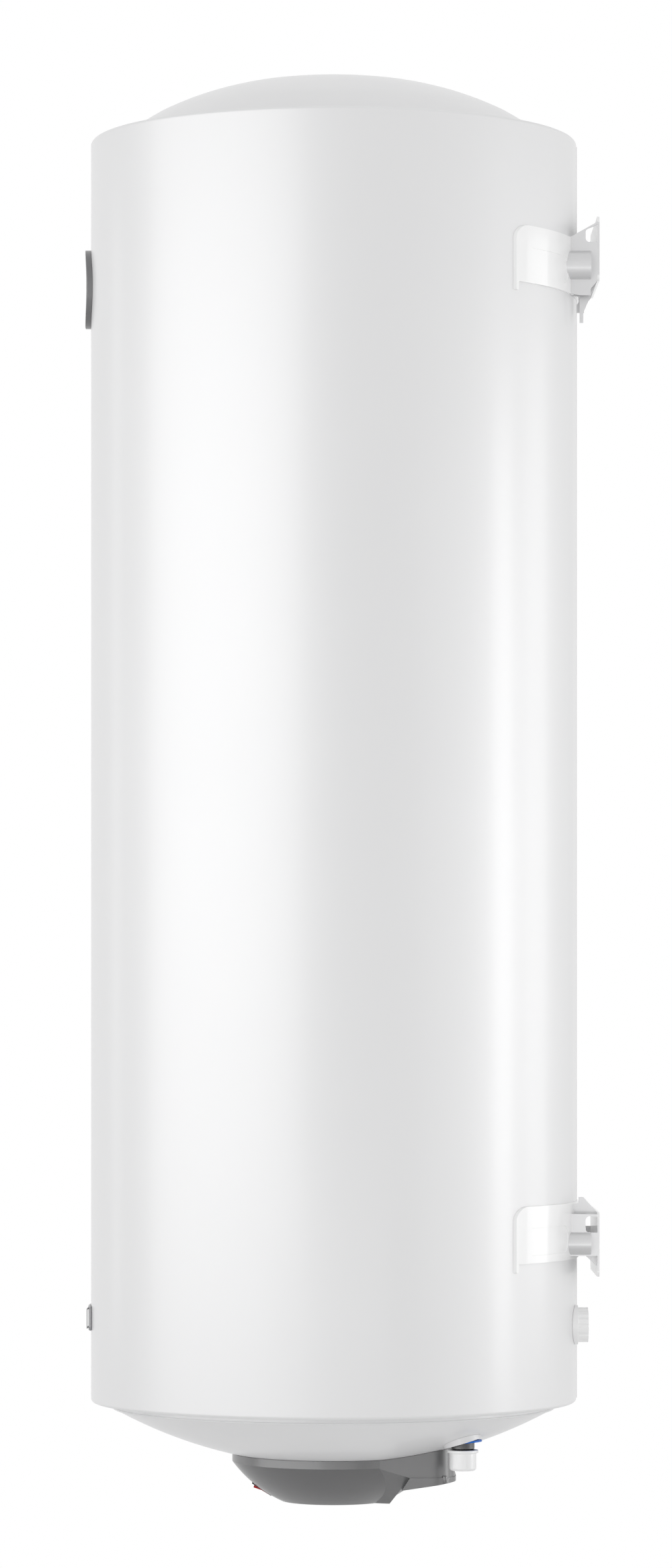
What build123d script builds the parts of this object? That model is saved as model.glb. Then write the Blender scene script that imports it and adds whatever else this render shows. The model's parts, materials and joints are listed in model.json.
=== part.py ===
"""Wall-hung electric tank water heater: a tall insulated cylinder on two pressed wall brackets.

Frame: millimetres, +Z up. The wall is the plane y = 0 and the heater stands in front of it (-Y).
x = 0 is the heater's middle, and z = 0 is the height of the upper bracket's anchor slots.
"""
import os
from math import atan2, cos, degrees, radians, sin, sqrt, tan

from build123d import *

os.makedirs("parts", exist_ok=True)

# ---------------------------------------------------------------- driving dimensions (mm)
# jacket
casing_radius = 222.5
casing_wall = 1.0
casing_top = 101.0            # end of the straight side above the anchor slots
casing_bottom = -1046.0       # end of the straight side below them
rim_roll = 3.0                # radius of the rolled rim at both ends
rim_width = 4.6               # how far the rolled rim reaches inwards
wall_gap = 18.5               # between the jacket and the wall
wall_distance = casing_radius + wall_gap

# clearances
seat_gap = 0.1                # between curved faces that rest on each other
running_gap = 0.06            # radial clearance of a shaft in its bore
moving_gap = 0.35             # clearance round anything else that moves

# end caps
cap_wall = 1.4
crown_flat = 1.0              # small flat at the middle of every dome
top_dome_height = 61.8
top_shoulder_share = 0.634    # of the skirt's radius, where the crown turns into the knuckle
top_shoulder_height = 43.4
top_knuckle_bulge = 2.6
skirt_inset = 17.5            # inside the jacket's radius, where both domes meet their rims
dome_skirt_radius = casing_radius - skirt_inset
top_shoulder_radius = top_shoulder_share * dome_skirt_radius
top_skirt_drop = 1.8
bottom_dome_depth = 54.2
bottom_skirt_drop = 4.3
envelope_height = 60.0        # of the forms that trim pieces to the bottom cap
bead_gap = 0.3                # from the bottom dome's skirt to the bead round it
bead_size = 1.6
bead_radius = dome_skirt_radius + bead_gap + 2 * bead_size
access_radius = 84.0          # opening in the bottom cap under the control cover

# tank
foam_thickness = 22.5
tank_radius = casing_radius - casing_wall - foam_thickness
tank_wall = 2.0
tank_top = 78.0
tank_bottom = -1026.0
tank_dome_height = 46.0
foam_clearance = 0.3

# water connections
pipe_spacing = 200.0
pipe_setback = 116.3          # behind the heater axis
pipe_radius = 10.48           # G1/2 male thread, major diameter 20.96
pipe_bore_radius = 7.5
pipe_end = -1101.8
riser_top = 84.0              # the hot pipe's mouth, under the tank's top dome
inlet_top = -1006.0
collar_radius = 17.5
collar_drop = 1.6             # from the bottom dome to the collar's underside, on the pipe's axis
collar_side_slope = 0.03
collar_rear_slope = 0.3
collar_reach = 14.0           # up into the cap's dome, which trims it
marker_inset = 0.2            # inside the collar's edge
marker_thickness = 1.6
marker_rear_slope = 0.08
transport_cap_rim_radius = 14.1
transport_cap_rim = 2.8
transport_cap_radius = 12.1
transport_cap_bottom = -1104.1
transport_cap_height = 18.7
transport_cap_wall = 1.3
transport_cap_fillet = 2.6

diffuser_radius = 16.0
diffuser_height = 16.0

# access flange and what it carries
neck_radius = 64.0
neck_bore_radius = 50.0
neck_bottom = -1094.0
gasket_thickness = 2.5
flange_thickness = 4.0
flange_bolt_circle = 114.0
flange_bolt_count = 6
stud_radius = 3.0
nut_width = 10.0
nut_height = 5.0
element_radius = 4.2
element_length = 260.0
element_half_span = 17.0
element_offset = 20.0
well_radius = 5.0
well_length = 240.0
anode_radius = 9.0
anode_length = 330.0
anode_setback = 38.0

# thermostat group, under the flange
thermostat_width = 44.0
thermostat_depth = 34.0
thermostat_height = 17.0
shaft_radius = 3.0
cutout_radius = 9.0
cutout_height = 8.0
cutout_offset = 33.0
reset_radius = 2.5
reset_stand_out = 2.2
reset_travel = 1.5

# control cover
cover_wall = 2.4
cover_radius = 93.0
cover_band_bottom = -1104.0
cover_mid_radius = 76.5
cover_mid_level = -1122.0
cover_flat_radius = 48.0
cover_bottom = -1140.5
cover_gap = 0.3
keel_foot = 51.0
facet_front = 39.9
facet_rear = 69.0
facet_foot = 36.0
arm_half_width = 84.0
arm_rear = 111.0
arm_corner = 24.0
arm_front_bottom = -1124.0
arm_rear_bottom = -1116.6
arm_step_level = -1112.5
arm_step = 0.9
arm_floor = -1112.0

# knob, rocker, lamp, grommet
knob_radius = 17.0
knob_height = 6.0
knob_recess = 7.0
knob_ribs = 24
switch_radius = 66.0          # distance of the rocker from the heater axis
switch_length = 21.0
switch_width = 15.0
switch_flange = 0.8
switch_sink = 0.6             # depth of the flat that the frame sits in
switch_depth = 9.0
bowl_bulge = 1.4              # how far the bowl swells past a straight cone at the rocker
window_border = 1.9
rocker_tilt = 8.0             # to either side of its middle position
rocker_rise = 1.6
rocker_pin_radius = 1.2
rocker_pin_depth = 2.0
lamp_radius = 3.4
lamp_offset = -21.0
lamp_sink = 1.0               # the bowl's round side falls back from the rocker's plane there
cable_bore_radius = 4.4
grommet_radius = 7.5
grommet_groove = 1.5
grommet_lip = 1.0
block_length = 30.0
block_width = 14.0
block_height = 10.5
block_setback = 86.0
screw_head_radius = 3.4
screw_spacing = 74.0
screw_shank_radius = 1.7
screw_sink = 1.2
screw_length = 12.0
post_width = 8.0

# wall brackets
saddle_thickness = 2.2
saddle_half_width = 155.0
saddle_height = 51.0
saddle_corner = 13.0
saddle_tab_width = 2.4
saddle_tab_length = 7.8
panel_border = 7.0
panel_top_border = 19.5
panel_corner = 11.0
panel_depth = 0.6
panel_end = 74.0               # distance of a panel's inner edge from the middle
strip_thickness = 2.0
box_half_width = 66.0
plate_height = 58.6
plate_corner = 5.4
slot_spacing = 72.0
slot_width = 12.0
slot_length = 18.0
boss_radius = 13.1
boss_reach = 10.5             # past the jacket
boss_end = casing_radius + boss_reach
boss_offset = 64.0
upper_saddle_middle = -15.5
lower_saddle_middle = -890.5
lower_plate_middle = -902.8
upper_boss_level = -15.4
lower_boss_level = -901.7
wall_lead = 8.5               # inward of the jacket, where a side wall's edge leaves the saddle
upper_wall_foot = 1.5         # below the saddle
lower_wall_head = 9.6         # below the saddle's top edge
lower_wall_foot = 3.0         # above the saddle's foot
hook_gap = 1.0                # between the upper hook and the jacket
hook_width = 3.3
upper_hook_bend = 27.7        # below the wall plate
upper_hook_tip = 36.8
lower_hook_tip = 13.4         # above the wall plate
web_offset = 54.0
web_flange = 7.0
web_foot = 9.0                # below the saddle, where the lower web meets the plate
window_reach = 10.6           # from the wall plate's front
window_corner = 3.5
upper_window = (5.6, 17.0, 21.2)         # foot, top at its far side, top at the plate
lower_window = (-891.8, -876.6, -877.6)

# foam-port plug at the back
plug_level = -977.5
plug_offset = 31.0
plug_flange_radius = 18.0
plug_flange = 0.4            # its face stands this far behind the jacket's rearmost line
plug_head_radius = 15.9
plug_height = 9.7
plug_stem_radius = 12.0
plug_stem = 14.0
plug_flutes = 12

# thermometer on the front
dial_level = -29.4
bezel_radius = 35.8
bezel_inner_radius = 29.6
bezel_stand_out = 5.2
lens_thickness = 0.7
dial_thickness = 0.8
dial_stand_out = 0.9
lens_level = 2.6
lens_crown = 4.0
needle_thickness = 0.5
needle_reach = 22.0
needle_tail = 9.0
needle_hub_radius = 3.2
needle_pin_radius = 1.0
gauge_radius = 24.0
gauge_depth = 12.0
bulb_radius = 3.5

# plain name-plate place on the front
plate_level = -972.2
front_plate_width = 60.0
front_plate_height = 22.2
front_plate_stand_out = 2.5

# ---------------------------------------------------------------- shared geometry
heater_axis = Axis((0, -wall_distance, 0), (0, 0, 1))
side_plane = Plane.XZ.offset(wall_distance)
skirt_bottom = casing_bottom - rim_roll - bottom_skirt_drop + 0.5
flange_top = neck_bottom - gasket_thickness
flange_bottom = flange_top - flange_thickness
pipe_places = {"cold": (pipe_spacing / 2, pipe_setback), "hot": (-pipe_spacing / 2, pipe_setback)}


def level(z):
    """Horizontal plane at height z with its origin on the heater's axis."""
    return Plane((0, -wall_distance, z))


def sag(radius, sphere):
    """Depth of a sphere's surface below its crown at a distance from its axis."""
    return sphere - sqrt(sphere**2 - radius**2)


def sphere_radius(radius, depth):
    """Radius of the sphere that a cap of this radius and depth belongs to."""
    return (radius**2 + depth**2) / (2 * depth)


bottom_sphere = sphere_radius(dome_skirt_radius, bottom_dome_depth)
tank_sphere = sphere_radius(tank_radius, tank_dome_height)
dome_lowest = skirt_bottom - bottom_dome_depth


def save(builder, name):
    """Labels a finished piece and writes its STEP file."""
    builder.part.label = name
    export_step(builder.part, f"parts/{name}.step")


def bottom_envelope(gap):
    """Solid of everything above the bottom cap's outer face, grown by a gap."""
    with BuildPart() as form:
        with BuildSketch(side_plane):
            with BuildLine():
                top = (0, skirt_bottom + envelope_height)
                foot = (0, dome_lowest - gap)
                mid_radius = dome_skirt_radius / 2
                mid = (mid_radius, dome_lowest + sag(mid_radius, bottom_sphere) - gap)
                edge = (dome_skirt_radius, skirt_bottom - gap)
                Line(top, foot)
                ThreePointArc(foot, mid, edge)
                Line(edge, (dome_skirt_radius, skirt_bottom + envelope_height))
                Line((dome_skirt_radius, skirt_bottom + envelope_height), top)
            make_face()
        revolve(axis=heater_axis)
    return form.part


def casing_envelope(radius):
    """Solid cylinder about the heater's axis, longer than the jacket."""
    with BuildPart() as form:
        with BuildSketch(level(casing_bottom - 20)):
            Circle(radius)
        extrude(amount=casing_top - casing_bottom + 40)
    return form.part


# ---------------------------------------------------------------- jacket and caps
plug_plane = Plane(
    origin=(plug_offset, casing_radius - wall_distance, plug_level), x_dir=(0, 0, 1), z_dir=(0, 1, 0)
)
gauge_plane = Plane(
    origin=(0, -wall_distance - casing_radius, dial_level), x_dir=(1, 0, 0), z_dir=(0, -1, 0)
)

with BuildPart() as casing:
    with BuildSketch(side_plane):
        with BuildLine():
            outer_bottom = (casing_radius, casing_bottom)
            outer_top = (casing_radius, casing_top)
            lip = casing_radius - rim_width
            Line(outer_bottom, outer_top)
            RadiusArc(outer_top, (casing_radius - rim_roll, casing_top + rim_roll), -rim_roll)
            Line((casing_radius - rim_roll, casing_top + rim_roll), (lip, casing_top + rim_roll))
            Line((lip, casing_top + rim_roll), (lip, casing_top + rim_roll - casing_wall))
            inner = rim_roll - casing_wall
            Line(
                (lip, casing_top + rim_roll - casing_wall),
                (casing_radius - rim_roll, casing_top + inner),
            )
            RadiusArc(
                (casing_radius - rim_roll, casing_top + inner),
                (casing_radius - casing_wall, casing_top),
                inner,
            )
            Line((casing_radius - casing_wall, casing_top), (casing_radius - casing_wall, casing_bottom))
            RadiusArc(
                (casing_radius - casing_wall, casing_bottom),
                (casing_radius - rim_roll, casing_bottom - inner),
                inner,
            )
            Line(
                (casing_radius - rim_roll, casing_bottom - inner),
                (lip, casing_bottom - inner),
            )
            Line((lip, casing_bottom - inner), (lip, casing_bottom - rim_roll))
            Line((lip, casing_bottom - rim_roll), (casing_radius - rim_roll, casing_bottom - rim_roll))
            RadiusArc((casing_radius - rim_roll, casing_bottom - rim_roll), outer_bottom, -rim_roll)
        make_face()
    revolve(axis=heater_axis)
    with BuildSketch(plug_plane.offset(-plug_stem)):
        Circle(plug_stem_radius + seat_gap)
    extrude(amount=plug_stem + 2, mode=Mode.SUBTRACT)
    with BuildSketch(gauge_plane.offset(-10)):
        Circle(gauge_radius + seat_gap)
    extrude(amount=20, mode=Mode.SUBTRACT)
save(casing, "casing")

cap_seat_radius = casing_radius - casing_wall - seat_gap
top_seat = casing_top + rim_roll - casing_wall - seat_gap
with BuildPart() as top_cap:
    with BuildSketch(side_plane):
        with BuildLine():
            apex = (crown_flat, casing_top + top_dome_height)
            shoulder = (top_shoulder_radius, casing_top + top_shoulder_height)
            skirt = (dome_skirt_radius, casing_top - top_skirt_drop)
            crown_mid = (top_shoulder_radius / 2, apex[1] - (apex[1] - shoulder[1]) / 4)
            knuckle_mid = (
                (shoulder[0] + skirt[0]) / 2 + top_knuckle_bulge / 2,
                (shoulder[1] + skirt[1]) / 2 + top_knuckle_bulge * 0.9,
            )
            ThreePointArc(apex, crown_mid, shoulder)
            ThreePointArc(shoulder, knuckle_mid, skirt)
            gutter = (dome_skirt_radius + 4, skirt[1] - 2)
            Line(skirt, gutter)
            Line(gutter, (cap_seat_radius - 6, gutter[1]))
            Line((cap_seat_radius - 6, gutter[1]), (cap_seat_radius - 6, top_seat))
            Line((cap_seat_radius - 6, top_seat), (cap_seat_radius - 2.2, top_seat))
            Line((cap_seat_radius - 2.2, top_seat), (cap_seat_radius - 2.2, gutter[1] - cap_wall))
            Line((cap_seat_radius - 2.2, gutter[1] - cap_wall), (gutter[0] - 1, gutter[1] - cap_wall))
            low_skirt = (skirt[0] - cap_wall, skirt[1] - cap_wall)
            Line((gutter[0] - 1, gutter[1] - cap_wall), low_skirt)
            low_shoulder = (shoulder[0] - 0.5, shoulder[1] - cap_wall)
            ThreePointArc(
                low_skirt, (knuckle_mid[0] - cap_wall / 2, knuckle_mid[1] - cap_wall), low_shoulder
            )
            low_apex = (crown_flat, apex[1] - cap_wall)
            ThreePointArc(low_shoulder, (crown_mid[0], crown_mid[1] - cap_wall), low_apex)
            Polyline(low_apex, (0, low_apex[1]), (0, apex[1]), apex)
        make_face()
    revolve(axis=heater_axis)
save(top_cap, "top_cap")


def dome_level(x, y):
    """Height of the bottom cap's outer face at a point given from the heater's axis."""
    return dome_lowest + sag(sqrt(x**2 + y**2), bottom_sphere)


bottom_seat = casing_bottom - rim_roll + casing_wall + seat_gap
inner_sphere = bottom_sphere - cap_wall
with BuildPart() as bottom_cap:
    with BuildSketch(side_plane):
        with BuildLine():
            start = (access_radius, dome_lowest + sag(access_radius, bottom_sphere))
            mid_radius = (access_radius + dome_skirt_radius) / 2
            mid = (mid_radius, dome_lowest + sag(mid_radius, bottom_sphere))
            skirt = (dome_skirt_radius, skirt_bottom)
            ThreePointArc(start, mid, skirt)
            bead_in = (bead_radius - 2 * bead_size, skirt_bottom - 0.4)
            bead_low = (bead_radius - bead_size, skirt_bottom - 1.4)
            bead_out = (bead_radius, skirt_bottom + 1.6)
            Line(skirt, bead_in)
            ThreePointArc(bead_in, bead_low, bead_out)
            Line(bead_out, (bead_radius, bottom_seat))
            Line((bead_radius, bottom_seat), (cap_seat_radius - 2.2, bottom_seat))
            Line((cap_seat_radius - 2.2, bottom_seat), (cap_seat_radius - 2.2, bottom_seat + cap_wall))
            inner_skirt = (dome_skirt_radius - 2, bottom_seat + cap_wall)
            Line((cap_seat_radius - 2.2, bottom_seat + cap_wall), inner_skirt)
            inner_edge = (
                dome_skirt_radius - 2,
                dome_lowest + cap_wall + sag(dome_skirt_radius - 2, inner_sphere),
            )
            Line(inner_skirt, inner_edge)
            inner_mid = (mid_radius, dome_lowest + cap_wall + sag(mid_radius, inner_sphere))
            inner_start = (access_radius, dome_lowest + cap_wall + sag(access_radius, inner_sphere))
            ThreePointArc(inner_edge, inner_mid, inner_start)
            Line(inner_start, start)
        make_face()
    revolve(axis=heater_axis)
    with BuildSketch(level(dome_lowest - 10)):
        with Locations(*pipe_places.values()):
            Circle(pipe_radius + seat_gap + 0.3)
    extrude(amount=bottom_dome_depth + 5, mode=Mode.SUBTRACT)
save(bottom_cap, "bottom_cap")

# ---------------------------------------------------------------- tank
with BuildPart() as tank_shell:
    with BuildSketch(level(tank_bottom)):
        Circle(tank_radius)
        Circle(tank_radius - tank_wall, mode=Mode.SUBTRACT)
    extrude(amount=tank_top - tank_bottom)
save(tank_shell, "tank_shell")


def tank_dome(edge, direction):
    """Spun tank end that stands on the shell's edge; direction is 1 at the top and -1 at the bottom."""
    inner = tank_sphere - tank_wall
    crown = edge + direction * tank_dome_height
    low_crown = crown - direction * tank_wall
    half = tank_radius / 2
    inner_rim = tank_radius - tank_wall
    with BuildPart() as form:
        with BuildSketch(side_plane):
            with BuildLine():
                Polyline((crown_flat, low_crown), (0, low_crown), (0, crown), (crown_flat, crown))
                ThreePointArc(
                    (crown_flat, crown),
                    (half, crown - direction * sag(half, tank_sphere)),
                    (tank_radius, edge),
                )
                Line((tank_radius, edge), (inner_rim, edge))
                ThreePointArc(
                    (inner_rim, edge),
                    (half, low_crown - direction * sag(half, inner)),
                    (crown_flat, low_crown),
                )
            make_face()
        revolve(axis=heater_axis)
    return form.part


with BuildPart() as tank_top_dome:
    add(tank_dome(tank_top, 1))
save(tank_top_dome, "tank_top_dome")

with BuildPart() as tank_bottom_dome:
    add(tank_dome(tank_bottom, -1))
    with BuildSketch(level(tank_bottom - tank_dome_height - 5)):
        Circle(neck_radius)
        with Locations(*pipe_places.values()):
            Circle(pipe_radius + seat_gap)
    extrude(amount=tank_dome_height + 10, mode=Mode.SUBTRACT)
save(tank_bottom_dome, "tank_bottom_dome")

neck_top = tank_bottom - tank_dome_height + sag(neck_radius, tank_sphere) + 6
with BuildPart() as flange_neck:
    with BuildSketch(level(neck_bottom)):
        Circle(neck_radius)
        Circle(neck_bore_radius, mode=Mode.SUBTRACT)
    extrude(amount=neck_top - neck_bottom)
    with BuildSketch(level(neck_bottom)):
        with PolarLocations(flange_bolt_circle / 2, flange_bolt_count):
            Circle(stud_radius)
    extrude(amount=10, mode=Mode.SUBTRACT)
save(flange_neck, "flange_neck")

# ---------------------------------------------------------------- access flange group
with BuildPart() as flange_gasket:
    with BuildSketch(level(flange_top)):
        Circle(neck_radius)
        Circle(neck_bore_radius, mode=Mode.SUBTRACT)
        with PolarLocations(flange_bolt_circle / 2, flange_bolt_count):
            Circle(stud_radius + seat_gap, mode=Mode.SUBTRACT)
    extrude(amount=gasket_thickness)
save(flange_gasket, "flange_gasket")

element_legs = [
    (side * element_half_span, row * element_offset) for side in (-1, 1) for row in (-1, 1)
]
with BuildPart() as access_flange:
    with BuildSketch(level(flange_bottom)):
        Circle(neck_radius)
        with PolarLocations(flange_bolt_circle / 2, flange_bolt_count):
            Circle(stud_radius + seat_gap, mode=Mode.SUBTRACT)
        with Locations(*element_legs):
            Circle(element_radius + seat_gap, mode=Mode.SUBTRACT)
        Circle(well_radius + seat_gap, mode=Mode.SUBTRACT)
    extrude(amount=flange_thickness)
save(access_flange, "access_flange")

with BuildPart() as flange_studs:
    with BuildSketch(level(flange_bottom - nut_height - 1.5)):
        with PolarLocations(flange_bolt_circle / 2, flange_bolt_count):
            Circle(stud_radius)
    extrude(amount=neck_bottom + 10 - (flange_bottom - nut_height - 1.5))
save(flange_studs, "flange_studs")

with BuildPart() as flange_nuts:
    with BuildSketch(level(flange_bottom - nut_height)):
        with PolarLocations(flange_bolt_circle / 2, flange_bolt_count):
            RegularPolygon(nut_width / 2, 6, major_radius=False)
            Circle(stud_radius + seat_gap, mode=Mode.SUBTRACT)
    extrude(amount=nut_height)
save(flange_nuts, "flange_nuts")

with BuildPart() as heating_element:
    for row in (-1, 1):
        foot = flange_bottom - 6
        bend = flange_top + element_length - element_half_span
        row_plane = Plane.XZ.offset(wall_distance - row * element_offset)
        with BuildLine(row_plane) as element_path:
            Line((-element_half_span, foot), (-element_half_span, bend))
            CenterArc((0, bend), element_half_span, 180, -180)
            Line((element_half_span, bend), (element_half_span, foot))
        with BuildSketch(
            Plane((-element_half_span, row * element_offset - wall_distance, foot))
        ):
            Circle(element_radius)
        sweep(path=element_path.wires()[0])
save(heating_element, "heating_element")

with BuildPart() as thermowell:
    with BuildSketch(level(flange_bottom - 1)):
        Circle(well_radius)
    extrude(amount=well_length)
    fillet(thermowell.edges().sort_by(Axis.Z)[-1], radius=well_radius * 0.8)
save(thermowell, "thermowell")

with BuildPart() as anode_rod:
    with BuildSketch(level(flange_top + 12)):
        with Locations((0, anode_setback)):
            Circle(anode_radius)
    extrude(amount=anode_length)
    chamfer(anode_rod.edges(), length=1.5)
    with BuildSketch(level(flange_top)):
        with Locations((0, anode_setback)):
            Circle(stud_radius)
    extrude(amount=12)
save(anode_rod, "anode_rod")

# ---------------------------------------------------------------- thermostat group
thermostat_top = flange_bottom - 1
thermostat_bottom = thermostat_top - thermostat_height
with BuildPart() as thermostat_body:
    with BuildSketch(level(thermostat_bottom)):
        RectangleRounded(thermostat_width, thermostat_depth, 3)
    extrude(amount=thermostat_height)
    with BuildSketch(level(thermostat_top - 6.5)):
        with Locations(*element_legs):
            Circle(element_radius + 1.5)
    extrude(amount=6.5, mode=Mode.SUBTRACT)
    with BuildSketch(level(thermostat_top)):
        with Locations((-13, 0), (13, 0)):
            Circle(4)
    extrude(amount=1)
    with BuildSketch(level(thermostat_bottom)):
        Circle(shaft_radius + running_gap)
    extrude(amount=12, mode=Mode.SUBTRACT)
save(thermostat_body, "thermostat_body")

with BuildPart() as thermal_cutout:
    with BuildSketch(level(flange_bottom - cutout_height)):
        with Locations((0, -cutout_offset)):
            Circle(cutout_radius)
            Circle(reset_radius + running_gap, mode=Mode.SUBTRACT)
    extrude(amount=cutout_height - 2)
    with BuildSketch(level(flange_bottom - 2)):
        with Locations((0, -cutout_offset)):
            Circle(cutout_radius)
            Rectangle(2 * cutout_radius + 10, 7)
    extrude(amount=2)
save(thermal_cutout, "thermal_cutout")

reset_top = flange_bottom - 2 - reset_travel - moving_gap
with BuildPart() as reset_button:
    with BuildSketch(level(flange_bottom - cutout_height - reset_stand_out)):
        with Locations((0, -cutout_offset)):
            Circle(reset_radius)
    extrude(amount=reset_top - (flange_bottom - cutout_height - reset_stand_out))
save(reset_button, "reset_button")

# ---------------------------------------------------------------- control cover
def keel_form(inset, roof):
    """Squared rear part of the cover with a slanted rear and a facet at each side, drawn in by an inset."""
    half = arm_half_width - arm_step - inset
    facet_across = Vector(0, facet_rear - facet_front, arm_step_level - cover_band_bottom)
    facet_down = Vector(facet_foot - arm_half_width, keel_foot - facet_front, cover_bottom - cover_band_bottom)
    facet_out = facet_down.cross(facet_across).normalized()
    facet_start = Vector(half + inset, facet_front - wall_distance, cover_band_bottom)
    rear_slope = (facet_rear - keel_foot) / (arm_step_level - cover_bottom)
    rear_shift = inset * sqrt(1 + rear_slope**2)
    with BuildPart() as form:
        with BuildSketch(Plane.YZ):
            with BuildLine():
                Polyline(
                    (-wall_distance, roof),
                    (facet_rear - rear_shift - wall_distance, roof),
                    (facet_rear - rear_shift - wall_distance, arm_step_level),
                    (keel_foot - rear_shift + inset * rear_slope - wall_distance, cover_bottom + inset),
                    (-wall_distance, cover_bottom + inset),
                    close=True,
                )
            make_face()
        extrude(amount=half, both=True)
        for side in (-1, 1):
            normal = Vector(side * facet_out.X, facet_out.Y, facet_out.Z)
            start = Vector(side * facet_start.X, facet_start.Y, facet_start.Z)
            split(bisect_by=Plane(origin=start - normal * inset, z_dir=normal), keep=Keep.BOTTOM)
    return form.part


def cover_form(inset):
    """Outer form of the control cover, drawn in by an inset."""
    with BuildPart() as form:
        roof = dome_lowest + 30
        with BuildSketch(side_plane):
            with BuildLine():
                band = (cover_radius - inset, cover_band_bottom)
                middle = (cover_mid_radius - inset * 0.7, cover_mid_level + inset * 0.7)
                flat = (cover_flat_radius - inset * 0.4, cover_bottom + inset)
                Line((0, roof), (band[0], roof))
                Line((band[0], roof), band)
                ThreePointArc(band, middle, flat)
                Line(flat, (0, flat[1]))
                Line((0, flat[1]), (0, roof))
            make_face()
        revolve(axis=heater_axis)
        add(keel_form(inset, roof))
    return form.part


def arm_form(inset, floor, roof, front):
    """Rear arm of the cover in plan, from a floor to a roof, with round rear corners."""
    with BuildPart() as form:
        with BuildSketch(level(floor)):
            with Locations((0, (front + arm_rear - inset) / 2)):
                Rectangle(2 * (arm_half_width - inset), arm_rear - inset - front)
        extrude(amount=roof - floor)
        rear_edges = form.edges().filter_by(Axis.Z).group_by(Axis.Y)[-1]
        fillet(rear_edges, radius=arm_corner - inset)
    return form.part


def arm_ledge():
    """Strip along the arm's foot, whose underside rises towards the wall."""
    with BuildPart() as form:
        add(arm_form(0, arm_front_bottom, arm_step_level, keel_foot))
        with BuildSketch(Plane.YZ):
            with BuildLine():
                slope = (facet_rear - keel_foot) / (arm_step_level - cover_bottom)
                ledge_front = facet_rear - slope * (arm_step_level - arm_front_bottom)
                Polyline(
                    (ledge_front - wall_distance, arm_front_bottom),
                    (arm_rear + 1 - wall_distance, arm_rear_bottom),
                    (arm_rear + 1 - wall_distance, arm_step_level),
                    (facet_rear - wall_distance, arm_step_level),
                    close=True,
                )
            make_face()
        extrude(amount=arm_half_width + 1, both=True, mode=Mode.INTERSECT)
    return form.part


switch_slope = degrees(
    atan2(cover_bottom - cover_mid_level, cover_flat_radius - cover_mid_radius)
) + 180
switch_level = cover_mid_level - (cover_mid_radius - switch_radius) * tan(radians(switch_slope))
switch_normal = (0, -sin(radians(switch_slope)), -cos(radians(switch_slope)))
switch_plane = Plane(
    origin=(0, -wall_distance - switch_radius, switch_level - bowl_bulge),
    x_dir=(1, 0, 0),
    z_dir=switch_normal,
)
screw_places = [(-screw_spacing / 2, 0), (screw_spacing / 2, 0)]
grommet_plane = Plane(
    origin=(0, arm_rear - wall_distance, arm_floor + grommet_radius + 1.2), x_dir=(1, 0, 0), z_dir=(0, 1, 0)
)

with BuildPart() as control_cover:
    add(cover_form(0))
    add(arm_form(arm_step, arm_step_level, dome_lowest + 30, facet_rear - 1))
    add(arm_ledge())
    add(cover_form(cover_wall), mode=Mode.SUBTRACT)
    add(arm_form(arm_step + cover_wall, arm_floor, dome_lowest + 40, facet_rear - 4), mode=Mode.SUBTRACT)
    add(bottom_envelope(cover_gap), mode=Mode.SUBTRACT)
    with BuildSketch(level(cover_bottom)):
        Circle(knob_radius + 1 + cover_wall)
    extrude(amount=knob_recess + cover_wall)
    with BuildSketch(level(cover_bottom)):
        Circle(knob_radius + 1)
    extrude(amount=knob_recess, mode=Mode.SUBTRACT)
    with BuildSketch(level(cover_bottom)):
        Circle(shaft_radius + moving_gap)
        with Locations(*screw_places):
            Circle(screw_shank_radius + seat_gap)
    extrude(amount=20, mode=Mode.SUBTRACT)
    with BuildSketch(level(cover_bottom)):
        with Locations(*screw_places):
            Circle(screw_head_radius + 0.4)
    extrude(amount=screw_sink, mode=Mode.SUBTRACT)
    with BuildSketch(switch_plane.offset(-switch_sink)):
        Rectangle(switch_width + 2 * seat_gap, switch_length + 2 * seat_gap)
    extrude(amount=8, mode=Mode.SUBTRACT)
    with BuildSketch(switch_plane.offset(-8)):
        Rectangle(switch_width - 2 + 2 * seat_gap, switch_length - 2 + 2 * seat_gap)
        with Locations((lamp_offset, 0)):
            Circle(lamp_radius + seat_gap)
    extrude(amount=16, mode=Mode.SUBTRACT)
    with BuildSketch(grommet_plane.offset(-cover_wall - arm_step - 1)):
        Circle(grommet_radius - 1.5 + seat_gap)
    extrude(amount=cover_wall + arm_step + 3, mode=Mode.SUBTRACT)
save(control_cover, "control_cover")

with BuildPart() as cover_posts:
    with BuildSketch(level(cover_bottom + cover_wall)):
        with Locations(*screw_places):
            RegularPolygon(post_width / 2, 6, major_radius=False)
            Circle(screw_shank_radius, mode=Mode.SUBTRACT)
    extrude(amount=flange_bottom - cover_bottom - cover_wall)
save(cover_posts, "cover_posts")

with BuildPart() as cover_screws:
    with BuildSketch(level(cover_bottom)):
        with Locations(*screw_places):
            Circle(screw_head_radius)
    extrude(amount=screw_sink)
    with BuildSketch(level(cover_bottom + screw_sink)):
        with Locations(*screw_places):
            Circle(screw_shank_radius)
    extrude(amount=screw_length)
    with BuildSketch(level(cover_bottom)):
        with Locations(*screw_places):
            Rectangle(2 * screw_head_radius - 1.6, 1)
            Rectangle(1, 2 * screw_head_radius - 1.6)
    extrude(amount=0.7, mode=Mode.SUBTRACT)
save(cover_screws, "cover_screws")

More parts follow.
